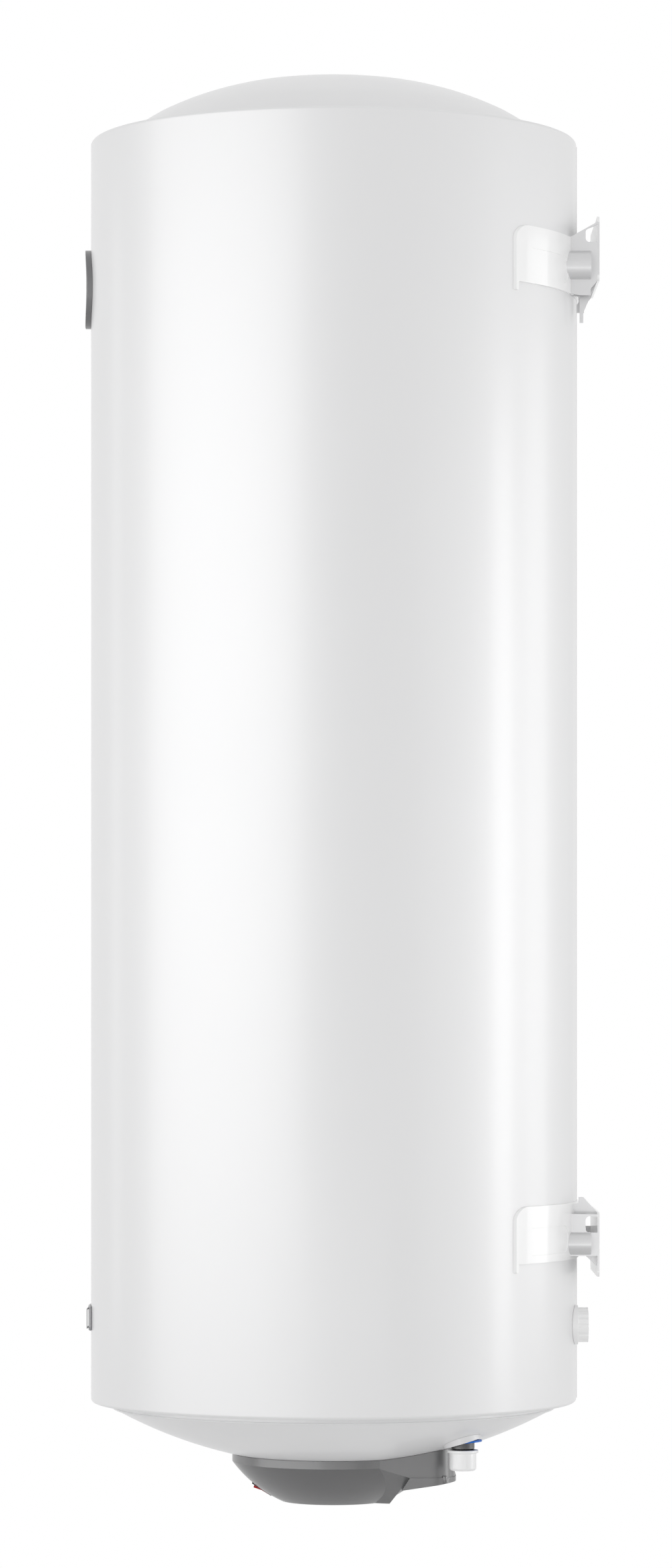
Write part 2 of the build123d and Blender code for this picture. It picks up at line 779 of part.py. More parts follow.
# ---------------------------------------------------------------- knob, rocker, lamp, grommet
knob_gap = 0.5
knob_bottom = cover_bottom + knob_gap
with BuildPart() as thermostat_knob:
    with BuildSketch(level(knob_bottom)):
        Circle(knob_radius)
        with PolarLocations(knob_radius + 0.4, knob_ribs):
            Circle(1.1, mode=Mode.SUBTRACT)
    extrude(amount=knob_height)
    with BuildSketch(level(knob_bottom)):
        Circle(knob_radius - 3)
        RectangleRounded(2 * knob_radius - 7.5, 7, 3, mode=Mode.SUBTRACT)
    extrude(amount=knob_height - 2.5, mode=Mode.SUBTRACT)
    with BuildSketch(level(knob_bottom + 2)):
        Circle(shaft_radius + seat_gap)
    extrude(amount=knob_height, mode=Mode.SUBTRACT)
save(thermostat_knob, "thermostat_knob")

with BuildPart() as thermostat_shaft:
    with BuildSketch(level(knob_bottom + 2)):
        Circle(shaft_radius)
    extrude(amount=thermostat_bottom + 12 - moving_gap - knob_bottom - 2)
save(thermostat_shaft, "thermostat_shaft")

window_width = switch_width - 2 * window_border
window_length = switch_length - 2 * window_border
with BuildPart() as switch_frame:
    with BuildSketch(switch_plane.offset(-switch_sink)):
        RectangleRounded(switch_width, switch_length, 1)
    extrude(amount=switch_flange)
    with BuildSketch(switch_plane.offset(-switch_depth)):
        Rectangle(switch_width - 2, switch_length - 2)
    extrude(amount=switch_depth - switch_sink)
    with BuildSketch(switch_plane.offset(1 - switch_depth)):
        Rectangle(window_width, window_length)
    extrude(amount=switch_depth + switch_flange, mode=Mode.SUBTRACT)
    pin_plane = Plane(
        origin=switch_plane.from_local_coords((-window_width / 2, 0, -rocker_pin_depth)),
        x_dir=(0, 0, 1),
        z_dir=(1, 0, 0),
    )
    with BuildSketch(pin_plane):
        Circle(rocker_pin_radius)
    extrude(amount=window_width)
save(switch_frame, "switch_frame")

rocker_axis = Axis(switch_plane.from_local_coords((0, 0, -rocker_pin_depth)), (1, 0, 0))
rocker_side = Plane(origin=switch_plane.origin, x_dir=switch_plane.y_dir, z_dir=(1, 0, 0))
rocker_half = window_length / 2 - 2 * moving_gap
with BuildPart() as power_rocker:
    with BuildSketch(rocker_side):
        with BuildLine():
            Polyline(
                (-rocker_half, rocker_rise),
                (0, rocker_rise - rocker_half * tan(radians(rocker_tilt)) * 0.8),
                (rocker_half, rocker_rise),
                (rocker_half, -1.5),
                (3, -rocker_pin_depth - 2.6),
                (-3, -rocker_pin_depth - 2.6),
                (-rocker_half, -1.5),
                close=True,
            )
        make_face()
        with Locations((0, -rocker_pin_depth)):
            Circle(rocker_pin_radius + running_gap, mode=Mode.SUBTRACT)
    extrude(amount=window_width / 2 - moving_gap, both=True)
power_rocker.part = power_rocker.part.rotate(rocker_axis, rocker_tilt)
save(power_rocker, "power_rocker")

with BuildPart() as indicator_lamp:
    with BuildSketch(switch_plane.offset(-7)):
        with Locations((lamp_offset, 0)):
            Circle(lamp_radius)
    extrude(amount=7 - lamp_sink)
    fillet(indicator_lamp.edges().sort_by(Axis.Z)[0], radius=1)
save(indicator_lamp, "indicator_lamp")

arm_wall_outside = arm_rear - arm_step
arm_wall_inside = arm_wall_outside - cover_wall
grommet_place = Plane(
    origin=(0, arm_wall_inside - grommet_lip - wall_distance, arm_floor + grommet_radius + 1.2),
    x_dir=(1, 0, 0),
    z_dir=(0, 1, 0),
)
with BuildPart() as cable_grommet:
    with BuildSketch(grommet_place):
        Circle(grommet_radius)
    extrude(amount=grommet_lip)
    with BuildSketch(grommet_place.offset(grommet_lip)):
        Circle(grommet_radius - grommet_groove)
    extrude(amount=cover_wall)
    with BuildSketch(grommet_place.offset(grommet_lip + cover_wall)):
        Circle(grommet_radius)
    extrude(amount=grommet_lip)
    with BuildSketch(grommet_place):
        Circle(cable_bore_radius)
    extrude(amount=2 * grommet_lip + cover_wall, mode=Mode.SUBTRACT)
save(cable_grommet, "cable_grommet")

with BuildPart() as terminal_block:
    with BuildSketch(level(arm_floor)):
        with Locations((0, block_setback)):
            Rectangle(block_length, block_width)
    extrude(amount=block_height)
    with BuildSketch(level(arm_floor + block_height - 5)):
        with Locations((0, block_setback)):
            with GridLocations(block_length / 3, 1, 3, 1):
                Circle(2.4)
    extrude(amount=5, mode=Mode.SUBTRACT)
save(terminal_block, "terminal_block")

# ---------------------------------------------------------------- water connections
def washer_plane(side, rear_slope):
    """Plane through a pipe's axis that rises to the outside and to the wall."""
    underside = round(dome_level(pipe_spacing / 2, pipe_setback) - collar_drop, 1)
    return Plane(
        origin=(side * pipe_spacing / 2, pipe_setback - wall_distance, underside),
        z_dir=(-side * collar_side_slope, -rear_slope, 1),
    )


def collar_form(side, gap):
    """Round boss between the dome and a pipe's washer plane; the gap grows it all over."""
    with BuildPart() as form:
        with BuildSketch(washer_plane(side, collar_rear_slope).offset(-gap)):
            Circle(collar_radius + gap)
        extrude(amount=collar_reach + gap)
    return form.part


def pipe_hole(side, gap):
    """Upright cylinder on a pipe's axis, for boring the pieces round it."""
    with BuildPart() as form:
        with BuildSketch(level(pipe_end - 5)):
            with Locations((side * pipe_spacing / 2, pipe_setback)):
                Circle(pipe_radius + gap)
        extrude(amount=inlet_top - pipe_end + 5)
    return form.part


def marker_form(side):
    """Thin coloured disc on the pipe, which shows where it is less tilted than the collar."""
    with BuildPart() as form:
        with BuildSketch(washer_plane(side, marker_rear_slope)):
            Circle(collar_radius - marker_inset)
        extrude(amount=marker_thickness)
    return form.part


def pipe_form(side, top):
    """Tank pipe from its threaded mouth under the cap to its top inside the tank."""
    with BuildPart() as form:
        with BuildSketch(level(pipe_end)):
            with Locations((side * pipe_spacing / 2, pipe_setback)):
                Circle(pipe_radius)
                Circle(pipe_bore_radius, mode=Mode.SUBTRACT)
        extrude(amount=top - pipe_end)
        chamfer(form.edges().group_by(Axis.Z)[0].sort_by(SortBy.LENGTH)[-1], length=1)
    return form.part


def transport_cap_form(side):
    """Soft plastic cap pushed over a pipe's mouth, with a rim to pull it off by."""
    place = (side * pipe_spacing / 2, pipe_setback)
    with BuildPart() as form:
        with BuildSketch(level(transport_cap_bottom)):
            with Locations(place):
                Circle(transport_cap_radius)
        extrude(amount=transport_cap_height)
        fillet(form.edges().group_by(Axis.Z)[0], radius=transport_cap_fillet)
        rim_bottom = transport_cap_bottom + transport_cap_height - transport_cap_rim
        with BuildSketch(level(rim_bottom)):
            with Locations(place):
                Circle(transport_cap_rim_radius)
        extrude(amount=transport_cap_rim)
        fillet(form.edges().filter_by(GeomType.CIRCLE).group_by(SortBy.LENGTH)[-1], radius=0.9)
        with BuildSketch(level(transport_cap_bottom + transport_cap_wall)):
            with Locations(place):
                Circle(pipe_radius + moving_gap)
        extrude(amount=transport_cap_height, mode=Mode.SUBTRACT)
    return form.part


for name, side, top, cap in (
    ("cold", 1, inlet_top, "inlet_cap"),
    ("hot", -1, riser_top, "outlet_cap"),
):
    with BuildPart() as pipe:
        add(pipe_form(side, top))
    save(pipe, f"{name}_pipe")
    with BuildPart() as collar:
        add(collar_form(side, 0))
        add(bottom_envelope(seat_gap), mode=Mode.SUBTRACT)
        add(pipe_hole(side, seat_gap), mode=Mode.SUBTRACT)
    save(collar, f"{name}_collar")
    with BuildPart() as marker:
        add(marker_form(side))
        add(bottom_envelope(seat_gap), mode=Mode.SUBTRACT)
        add(collar_form(side, seat_gap), mode=Mode.SUBTRACT)
        add(pipe_hole(side, seat_gap), mode=Mode.SUBTRACT)
    save(marker, f"{name}_marker")
    with BuildPart() as transport_cap:
        add(transport_cap_form(side))
    save(transport_cap, cap)

with BuildPart() as inlet_diffuser:
    with BuildSketch(level(inlet_top)):
        with Locations(pipe_places["cold"]):
            Circle(diffuser_radius)
            Circle(pipe_bore_radius, mode=Mode.SUBTRACT)
    extrude(amount=diffuser_height)
    with BuildSketch(level(inlet_top + diffuser_height - 2)):
        with Locations(pipe_places["cold"]):
            Circle(diffuser_radius)
    extrude(amount=2)
    with BuildSketch(level(inlet_top + 3)):
        with Locations(pipe_places["cold"]):
            Rectangle(2 * diffuser_radius + 2, 7)
            Rectangle(7, 2 * diffuser_radius + 2)
    extrude(amount=diffuser_height - 7, mode=Mode.SUBTRACT)
save(inlet_diffuser, "inlet_diffuser")

# ---------------------------------------------------------------- foam-port plug
with BuildPart() as foam_plug:
    with BuildSketch(plug_plane.offset(-plug_stem)):
        Circle(plug_flange_radius)
    extrude(amount=plug_stem + plug_flange)
    add(casing_envelope(casing_radius + seat_gap), mode=Mode.SUBTRACT)
    with BuildSketch(plug_plane.offset(-plug_stem)):
        Circle(plug_stem_radius)
    extrude(amount=plug_stem + 1)
    with BuildSketch(plug_plane.offset(plug_flange)):
        Circle(plug_head_radius)
        with PolarLocations(plug_head_radius + 1.6, plug_flutes):
            Circle(2.6, mode=Mode.SUBTRACT)
    extrude(amount=plug_height - plug_flange)
    with BuildSketch(plug_plane.offset(plug_height)):
        Circle(plug_head_radius - 4.5)
    extrude(amount=-4, mode=Mode.SUBTRACT)
save(foam_plug, "foam_plug")

# ---------------------------------------------------------------- thermometer
with BuildPart() as thermometer_bezel:
    with BuildSketch(gauge_plane.offset(-10)):
        Circle(bezel_radius)
        Circle(bezel_inner_radius, mode=Mode.SUBTRACT)
    extrude(amount=20)
    add(casing_envelope(casing_radius + bezel_stand_out), mode=Mode.INTERSECT)
    add(casing_envelope(casing_radius + seat_gap), mode=Mode.SUBTRACT)
save(thermometer_bezel, "thermometer_bezel")

dial_bottom = dial_stand_out - dial_thickness
pin_top = lens_level - moving_gap
with BuildPart() as thermometer_dial:
    with BuildSketch(gauge_plane.offset(dial_bottom)):
        Circle(bezel_inner_radius - seat_gap)
    extrude(amount=dial_thickness)
    with BuildSketch(gauge_plane.offset(dial_stand_out)):
        Circle(needle_pin_radius)
    extrude(amount=pin_top - dial_stand_out)
save(thermometer_dial, "thermometer_dial")

with BuildPart() as thermometer_body:
    with BuildSketch(gauge_plane.offset(-gauge_depth)):
        Circle(gauge_radius)
    extrude(amount=gauge_depth + dial_bottom)
    bulb_end = casing_radius - tank_radius - seat_gap
    with BuildSketch(gauge_plane.offset(-bulb_end)):
        Circle(bulb_radius)
    extrude(amount=bulb_end - gauge_depth)
save(thermometer_body, "thermometer_body")

with BuildPart() as thermometer_needle:
    with BuildSketch(gauge_plane.offset(dial_stand_out + moving_gap)):
        Circle(needle_hub_radius)
        with BuildLine():
            Polyline(
                (-1.1, -needle_tail),
                (1.1, -needle_tail),
                (0.9, 0),
                (0.25, needle_reach),
                (-0.25, needle_reach),
                (-0.9, 0),
                close=True,
            )
        make_face()
        with Locations((0, -needle_tail)):
            Circle(2.2)
        Circle(needle_pin_radius + running_gap, mode=Mode.SUBTRACT)
    extrude(amount=needle_thickness)
save(thermometer_needle, "thermometer_needle")

lens_rim = bezel_inner_radius - seat_gap
with BuildPart() as thermometer_lens:
    lens_side = Plane(origin=gauge_plane.origin, x_dir=(1, 0, 0), z_dir=(0, 0, -1))
    with BuildSketch(lens_side):
        with BuildLine():
            inner_crown = lens_crown - lens_thickness
            outer_rim_level = lens_level + lens_thickness
            half = lens_rim / 2
            Polyline((crown_flat, inner_crown), (0, inner_crown), (0, lens_crown), (crown_flat, lens_crown))
            ThreePointArc(
                (crown_flat, lens_crown),
                (half, lens_crown - (lens_crown - outer_rim_level) / 4),
                (lens_rim, outer_rim_level),
            )
            Line((lens_rim, outer_rim_level), (lens_rim, lens_level))
            ThreePointArc(
                (lens_rim, lens_level),
                (half, inner_crown - (inner_crown - lens_level) / 4),
                (crown_flat, inner_crown),
            )
        make_face()
    revolve(axis=Axis(gauge_plane.origin, (0, 1, 0)))
save(thermometer_lens, "thermometer_lens")

# ---------------------------------------------------------------- plain front plate
front_plane = Plane(
    origin=(0, -wall_distance - casing_radius, plate_level), x_dir=(1, 0, 0), z_dir=(0, -1, 0)
)
with BuildPart() as front_plate:
    with BuildSketch(front_plane.offset(-10)):
        RectangleRounded(front_plate_width, front_plate_height, 4)
    extrude(amount=20)
    add(casing_envelope(casing_radius + front_plate_stand_out), mode=Mode.INTERSECT)
    add(casing_envelope(casing_radius + seat_gap), mode=Mode.SUBTRACT)
save(front_plate, "front_plate")


# ---------------------------------------------------------------- wall brackets
def saddle_prism(middle):
    """Front view of a saddle with its two tabs, carried back to the wall."""
    with BuildPart() as form:
        with BuildSketch(side_plane) as outline:
            with Locations((0, middle)):
                Rectangle(2 * saddle_half_width, saddle_height)
            fillet(outline.vertices().group_by(Axis.Y)[-1], radius=saddle_corner)
            tab_middle = saddle_half_width - saddle_tab_width / 2
            tab_tip = middle - saddle_height / 2 - saddle_tab_length + saddle_tab_width / 2
            with Locations((-tab_middle, tab_tip), (tab_middle, tab_tip)):
                Circle(saddle_tab_width / 2)
            tab_root = tab_tip + saddle_tab_length / 2
            with Locations((-tab_middle, tab_root), (tab_middle, tab_root)):
                Rectangle(saddle_tab_width, saddle_tab_length)
        extrude(amount=-wall_distance)
    return form.part


def panel_form(middle):
    """What the pressing takes from a saddle's outer face, in one panel on each side."""
    reach = saddle_half_width - panel_border
    panel_foot = middle - saddle_height / 2 + panel_border
    panel_head = middle + saddle_height / 2 - panel_top_border
    with BuildPart() as form:
        with BuildSketch(side_plane):
            for side in (-1, 1):
                with Locations((side * (panel_end + reach) / 2, (panel_foot + panel_head) / 2)):
                    RectangleRounded(reach - panel_end, panel_head - panel_foot, panel_corner)
        extrude(amount=-wall_distance)
        add(casing_envelope(saddle_inner + saddle_thickness - panel_depth), mode=Mode.SUBTRACT)
    return form.part


def upright_sheet(points, offset, thickness, sides):
    """Upright sheets, square to the wall, drawn inward from an offset on each of the sides."""
    with BuildPart() as form:
        for side in sides:
            with BuildSketch(Plane.YZ.offset(side * offset)):
                with BuildLine():
                    Polyline(*points, close=True)
                make_face()
            extrude(amount=-side * thickness)
    return form.part


def window_form(window):
    """Opening in a side wall in front of the wall plate, rounded where it is farthest from it."""
    foot, far_top, near_top = window
    reach = -strip_thickness - window_reach
    with BuildPart() as form:
        with BuildSketch(Plane.YZ) as outline:
            with BuildLine():
                Polyline(
                    (-strip_thickness, foot), (-strip_thickness, near_top), (reach, far_top), (reach, foot),
                    close=True,
                )
            make_face()
            fillet(outline.vertices().group_by(Axis.X)[0], radius=window_corner)
        extrude(amount=box_half_width + 1, both=True)
        with BuildSketch(Plane.YZ):
            with Locations((0, foot)):
                Rectangle(2 * wall_distance, 4 * plate_height)
        extrude(amount=box_half_width - strip_thickness - 1, both=True, mode=Mode.SUBTRACT)
    return form.part


def bracket_form(saddle_middle, plate_middle, boss_level, boss_size, wall, web, flange, window):
    """Pressed wall bracket: a saddle, side walls with bosses, a wall plate and a locating web."""
    with BuildPart() as form:
        with BuildSketch(level(saddle_middle - saddle_height)):
            Circle(saddle_inner + saddle_thickness)
        extrude(amount=2 * saddle_height)
        add(saddle_prism(saddle_middle), mode=Mode.INTERSECT)
        add(panel_form(saddle_middle), mode=Mode.SUBTRACT)
        add(upright_sheet(wall, box_half_width, strip_thickness, (-1, 1)))
        add(window_form(window), mode=Mode.SUBTRACT)
        add(upright_sheet(web, web_offset, strip_thickness, (1,)))
        add(upright_sheet(flange, web_offset, web_flange, (1,)))
        with BuildSketch(Plane.XZ.offset(wall_distance - boss_end)):
            with Locations((-boss_offset, boss_level), (boss_offset, boss_level)):
                Circle(boss_size)
        extrude(amount=boss_end - saddle_inner + 20)
        with BuildSketch(Plane.XZ):
            with Locations((0, plate_middle)):
                RectangleRounded(2 * box_half_width, plate_height, plate_corner)
                with Locations((-slot_spacing / 2, 0), (slot_spacing / 2, 0)):
                    SlotOverall(slot_length, slot_width, mode=Mode.SUBTRACT)
        extrude(amount=strip_thickness)
        with BuildSketch(level(saddle_middle - 2 * saddle_height)):
            Circle(saddle_inner)
        extrude(amount=4 * saddle_height, mode=Mode.SUBTRACT)
    return form.part


saddle_inner = casing_radius + seat_gap
sheet_root = saddle_inner - 20 - wall_distance
wall_start = casing_radius - wall_lead - wall_distance
hook_back = casing_radius + hook_gap - wall_distance
hook_front = hook_back + hook_width
upper_head = upper_saddle_middle + saddle_height / 2
upper_foot = upper_saddle_middle - saddle_height / 2 - upper_wall_foot
upper_plate_foot = -plate_height / 2
lower_head = lower_saddle_middle + saddle_height / 2
lower_saddle_foot = lower_saddle_middle - saddle_height / 2
lower_plate_head = lower_plate_middle + plate_height / 2

upper_wall = (
    (sheet_root, upper_head),
    (wall_start, upper_head),
    (-strip_thickness, plate_height / 2 - plate_corner),
    (-strip_thickness, upper_plate_foot),
    ((hook_front - strip_thickness) / 2, (upper_plate_foot + upper_foot) / 2 - 1),
    (boss_end - wall_distance, upper_foot),
    (hook_back, upper_foot),
    (wall_start, upper_foot + upper_wall_foot),
    (sheet_root, upper_foot + upper_wall_foot),
)
upper_web = (
    (sheet_root, upper_foot + 10),
    (-strip_thickness, upper_plate_foot + 10),
    (-strip_thickness, upper_plate_foot),
    (hook_front, upper_plate_foot - upper_hook_bend),
    (hook_front, upper_plate_foot - upper_hook_tip),
    (hook_back, upper_plate_foot - upper_hook_tip),
    (hook_back, upper_foot),
    (sheet_root, upper_foot + 3),
)
upper_flange = (
    (-strip_thickness, upper_plate_foot),
    (hook_front, upper_plate_foot - upper_hook_bend),
    (hook_front - strip_thickness, upper_plate_foot - upper_hook_bend),
    (-strip_thickness, upper_plate_foot + 2 * strip_thickness),
)
with BuildPart() as upper_bracket:
    add(
        bracket_form(
            upper_saddle_middle, 0, upper_boss_level, boss_radius, upper_wall, upper_web, upper_flange,
            upper_window,
        )
    )
save(upper_bracket, "upper_bracket")

lower_wall = (
    (sheet_root, lower_head - lower_wall_head),
    (-strip_thickness, lower_head - lower_wall_head - 0.6),
    (-strip_thickness, lower_saddle_foot + lower_wall_foot),
    (sheet_root, lower_saddle_foot + lower_wall_foot),
)
lower_web = (
    (sheet_root, lower_head - 2.5),
    (hook_back - 0.9, lower_head - 0.9),
    (hook_back - 0.9, lower_plate_head + lower_hook_tip),
    (hook_front, lower_plate_head + lower_hook_tip),
    (-strip_thickness, lower_plate_head),
    (-strip_thickness, lower_head - lower_wall_head - 2),
    (sheet_root, lower_head - lower_wall_head - 2),
)
lower_flange = (
    (-strip_thickness, lower_saddle_foot - web_foot + 2.5),
    (-strip_thickness, lower_saddle_foot + lower_wall_foot + 2),
    (-strip_thickness - window_reach, lower_saddle_foot + lower_wall_foot + 2),
    (-strip_thickness - window_reach, lower_saddle_foot + lower_wall_foot),
)
with BuildPart() as lower_bracket:
    add(
        bracket_form(
            lower_saddle_middle, lower_plate_middle, lower_boss_level, boss_radius - 2.9, lower_wall,
            lower_web, lower_flange, lower_window,
        )
    )
save(lower_bracket, "lower_bracket")

# ---------------------------------------------------------------- insulation
with BuildPart() as insulation:
    with BuildSketch(side_plane):
        with BuildLine():
            foam_radius = casing_radius - casing_wall - foam_clearance
            foam_top = casing_top - 8
            crown = casing_top + top_dome_height - cap_wall - 1
            low_seat = bottom_seat + cap_wall + foam_clearance
            low_radius = dome_skirt_radius - 2 - foam_clearance
            lift = dome_lowest + cap_wall + foam_clearance
            mid_radius = (access_radius + low_radius) / 2
            shoulder = (top_shoulder_radius, casing_top + top_shoulder_height - cap_wall - 1)
            collar_edge = (dome_skirt_radius - 6, foam_top)
            Line((0, crown), (crown_flat, crown))
            ThreePointArc(
                (crown_flat, crown), (top_shoulder_radius / 2, crown - (crown - shoulder[1]) / 4), shoulder
            )
            Line(shoulder, collar_edge)
            Line(collar_edge, (foam_radius, foam_top))
            Line((foam_radius, foam_top), (foam_radius, low_seat + 3))
            Line((foam_radius, low_seat + 3), (low_radius, low_seat))
            Line((low_radius, low_seat), (low_radius, lift + sag(low_radius, inner_sphere)))
            ThreePointArc(
                (low_radius, lift + sag(low_radius, inner_sphere)),
                (mid_radius, lift + sag(mid_radius, inner_sphere)),
                (access_radius, lift + sag(access_radius, inner_sphere)),
            )
            Line((access_radius, lift + sag(access_radius, inner_sphere)), (access_radius, tank_bottom))
            Line((access_radius, tank_bottom), (0, tank_bottom))
            Line((0, tank_bottom), (0, crown))
        make_face()
    revolve(axis=heater_axis)
    with BuildSketch(side_plane):
        with BuildLine():
            reach = tank_radius + foam_clearance
            half = reach / 2
            high = tank_top + tank_dome_height + foam_clearance
            low = tank_bottom - tank_dome_height - foam_clearance
            Polyline((crown_flat, low), (0, low), (0, high), (crown_flat, high))
            ThreePointArc((crown_flat, high), (half, high - sag(half, tank_sphere)), (reach, tank_top))
            Line((reach, tank_top), (reach, tank_bottom))
            ThreePointArc((reach, tank_bottom), (half, low + sag(half, tank_sphere)), (crown_flat, low))
        make_face()
    revolve(axis=heater_axis, mode=Mode.SUBTRACT)
    with BuildSketch(level(dome_lowest)):
        with Locations(*pipe_places.values()):
            Circle(pipe_radius + foam_clearance)
    extrude(amount=tank_bottom - dome_lowest + 5, mode=Mode.SUBTRACT)
    with BuildSketch(plug_plane.offset(-plug_stem - foam_clearance)):
        Circle(plug_stem_radius + foam_clearance)
    extrude(amount=plug_stem + 5, mode=Mode.SUBTRACT)
    with BuildSketch(gauge_plane.offset(-gauge_depth - foam_clearance)):
        Circle(gauge_radius + foam_clearance)
    extrude(amount=gauge_depth + 5, mode=Mode.SUBTRACT)
    with BuildSketch(gauge_plane.offset(-casing_radius + tank_radius - 3)):
        Circle(bulb_radius + foam_clearance)
    extrude(amount=casing_radius - tank_radius, mode=Mode.SUBTRACT)
save(insulation, "insulation")
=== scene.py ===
"""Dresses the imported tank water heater: enamelled skins, rounded edges, fine detail, light and the camera."""
import json
import math

import bmesh
import bpy
from mathutils import Matrix, Vector


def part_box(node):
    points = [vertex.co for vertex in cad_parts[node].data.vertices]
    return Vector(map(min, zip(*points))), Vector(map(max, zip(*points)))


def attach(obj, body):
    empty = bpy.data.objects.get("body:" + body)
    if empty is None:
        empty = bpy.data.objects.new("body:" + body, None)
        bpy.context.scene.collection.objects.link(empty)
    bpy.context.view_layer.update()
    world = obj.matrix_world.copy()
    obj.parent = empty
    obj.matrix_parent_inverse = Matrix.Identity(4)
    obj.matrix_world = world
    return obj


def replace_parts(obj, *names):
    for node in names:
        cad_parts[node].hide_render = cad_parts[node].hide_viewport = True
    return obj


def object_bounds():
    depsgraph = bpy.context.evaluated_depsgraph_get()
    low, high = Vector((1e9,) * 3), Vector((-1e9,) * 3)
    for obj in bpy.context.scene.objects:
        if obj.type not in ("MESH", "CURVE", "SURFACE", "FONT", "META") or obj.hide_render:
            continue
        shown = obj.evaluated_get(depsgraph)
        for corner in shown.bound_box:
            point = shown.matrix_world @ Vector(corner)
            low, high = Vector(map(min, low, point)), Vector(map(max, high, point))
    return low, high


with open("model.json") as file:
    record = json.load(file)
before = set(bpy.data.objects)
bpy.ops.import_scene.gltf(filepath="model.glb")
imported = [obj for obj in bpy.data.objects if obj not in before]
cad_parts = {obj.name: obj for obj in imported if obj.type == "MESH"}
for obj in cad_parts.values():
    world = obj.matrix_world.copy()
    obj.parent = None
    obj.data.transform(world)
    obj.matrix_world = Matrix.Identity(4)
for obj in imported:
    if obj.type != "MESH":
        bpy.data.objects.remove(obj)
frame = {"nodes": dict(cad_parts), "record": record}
cad_low, cad_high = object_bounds()
nodes = frame["nodes"]

# ---------------------------------------------------------------- places, read from the frame
casing_low, casing_high = (Vector(corner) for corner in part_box("casing"))
plate_low, plate_high = (Vector(corner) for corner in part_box("front_plate"))
cover_low, cover_high = (Vector(corner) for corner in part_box("control_cover"))
rocker_low, rocker_high = (Vector(corner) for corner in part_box("power_rocker"))
lens_low, lens_high = (Vector(corner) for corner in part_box("thermometer_lens"))
knob_low = Vector(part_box("thermostat_knob")[0])
axis_y = (casing_low.y + casing_high.y) / 2
axis_point = Vector((0, axis_y, 0))
casing_radius = (casing_high.x - casing_low.x) / 2

# ---------------------------------------------------------------- sheet sizes of the jacket and its end caps
sheet = 0.001
rim_roll = 0.003
rim_width = 0.0046
casing_head = casing_high.z - rim_roll
casing_foot = casing_low.z + rim_roll
cap_wall = 0.0014
cap_gap = 0.0023
cap_edge = casing_radius - sheet - cap_gap
skirt_inset = 0.0175
skirt_radius = casing_radius - skirt_inset
# what a cap's inner side keeps of its outer side's radius
thinned = 1 - cap_wall / skirt_radius


def placed(name, data):
    """Adds an object with the given data to the scene."""
    thing = bpy.data.objects.new(name, data)
    bpy.context.scene.collection.objects.link(thing)
    return thing


# ---------------------------------------------------------------- camera
eye_distance = 4.895
eye_level = -0.658
camera_data = bpy.data.cameras.new("camera")
camera = placed("camera", camera_data)
camera.location = (eye_distance, axis_y, eye_level)
camera.rotation_euler = (math.radians(90), 0, math.radians(90))
camera_data.lens = 122.39
camera_data.sensor_width = 36
camera_data.shift_x = 0.00154
camera_data.shift_y = 0.1215
camera_data.clip_start = 0.05
camera_data.clip_end = 60
bpy.context.scene.camera = camera
bpy.context.scene.view_settings.view_transform = "Standard"

# ---------------------------------------------------------------- materials
looks = {}
patch_share = 0.35
smoothest = 0.02
relief_depth = 0.001
lens_index = 1.46


def noise(tree, place, scale, detail):
    """Noise laid out on the piece's own coordinates."""
    texture = tree.nodes.new("ShaderNodeTexNoise")
    texture.inputs["Scale"].default_value = scale
    texture.inputs["Detail"].default_value = detail
    tree.links.new(place.outputs["Object"], texture.inputs["Vector"])
    return texture.outputs["Fac"]


def finish(name, colour, rough, spread, grain, bump, peel, wear=0.06, metallic=0.0, specular=0.5, coat=0.0,
           coat_rough=0.06):
    """Adds a finish with a slightly uneven colour, patchy gloss and a fine surface relief.

    The colour strays by the share spread, at the scale grain. The roughness strays by wear, in wider patches.
    The relief has the strength bump and the scale peel.
    """
    material = bpy.data.materials.new(name)
    material.use_nodes = True
    tree = material.node_tree
    links = tree.links
    shader = tree.nodes["Principled BSDF"]
    shader.inputs["Metallic"].default_value = metallic
    shader.inputs["Specular IOR Level"].default_value = specular
    shader.inputs["Coat Weight"].default_value = coat
    shader.inputs["Coat Roughness"].default_value = coat_rough
    place = tree.nodes.new("ShaderNodeTexCoord")

    mottle = noise(tree, place, grain, 4)
    ramp = tree.nodes.new("ShaderNodeValToRGB")
    darker, lighter = ramp.color_ramp.elements
    darker.position = 0.3
    darker.color = (*[c * (1 - spread) for c in colour], 1)
    lighter.position = 0.7
    lighter.color = (*[min(1, c * (1 + spread)) for c in colour], 1)
    links.new(mottle, ramp.inputs["Fac"])
    links.new(ramp.outputs["Color"], shader.inputs["Base Color"])

    gloss = noise(tree, place, grain * patch_share, 6)
    span = tree.nodes.new("ShaderNodeMapRange")
    span.inputs["To Min"].default_value = max(smoothest, rough - wear)
    span.inputs["To Max"].default_value = min(1.0, rough + wear)
    links.new(gloss, span.inputs["Value"])
    links.new(span.outputs["Result"], shader.inputs["Roughness"])

    relief = noise(tree, place, peel, 2)
    bumps = tree.nodes.new("ShaderNodeBump")
    bumps.inputs["Strength"].default_value = bump
    bumps.inputs["Distance"].default_value = relief_depth
    links.new(relief, bumps.inputs["Height"])
    links.new(bumps.outputs["Normal"], shader.inputs["Normal"])
    looks[name] = material
    return shader


# painted sheet and moulded skins
finish("white_enamel", (0.81, 0.81, 0.815), 0.46, spread=0.006, grain=9, bump=0.02, peel=420, wear=0.03,
       specular=1.0, coat=0.3, coat_rough=0.2)
finish("white_plastic", (0.815, 0.815, 0.82), 0.4, spread=0.01, grain=14, bump=0.02, peel=500, wear=0.04,
       coat=0.15)
finish("bracket_paint", (0.96, 0.96, 0.96), 0.3, spread=0.008, grain=24, bump=0.04, peel=480, wear=0.05,
       coat=0.3)
finish("foam", (0.82, 0.72, 0.42), 0.9, spread=0.1, grain=120, bump=0.6, peel=380)

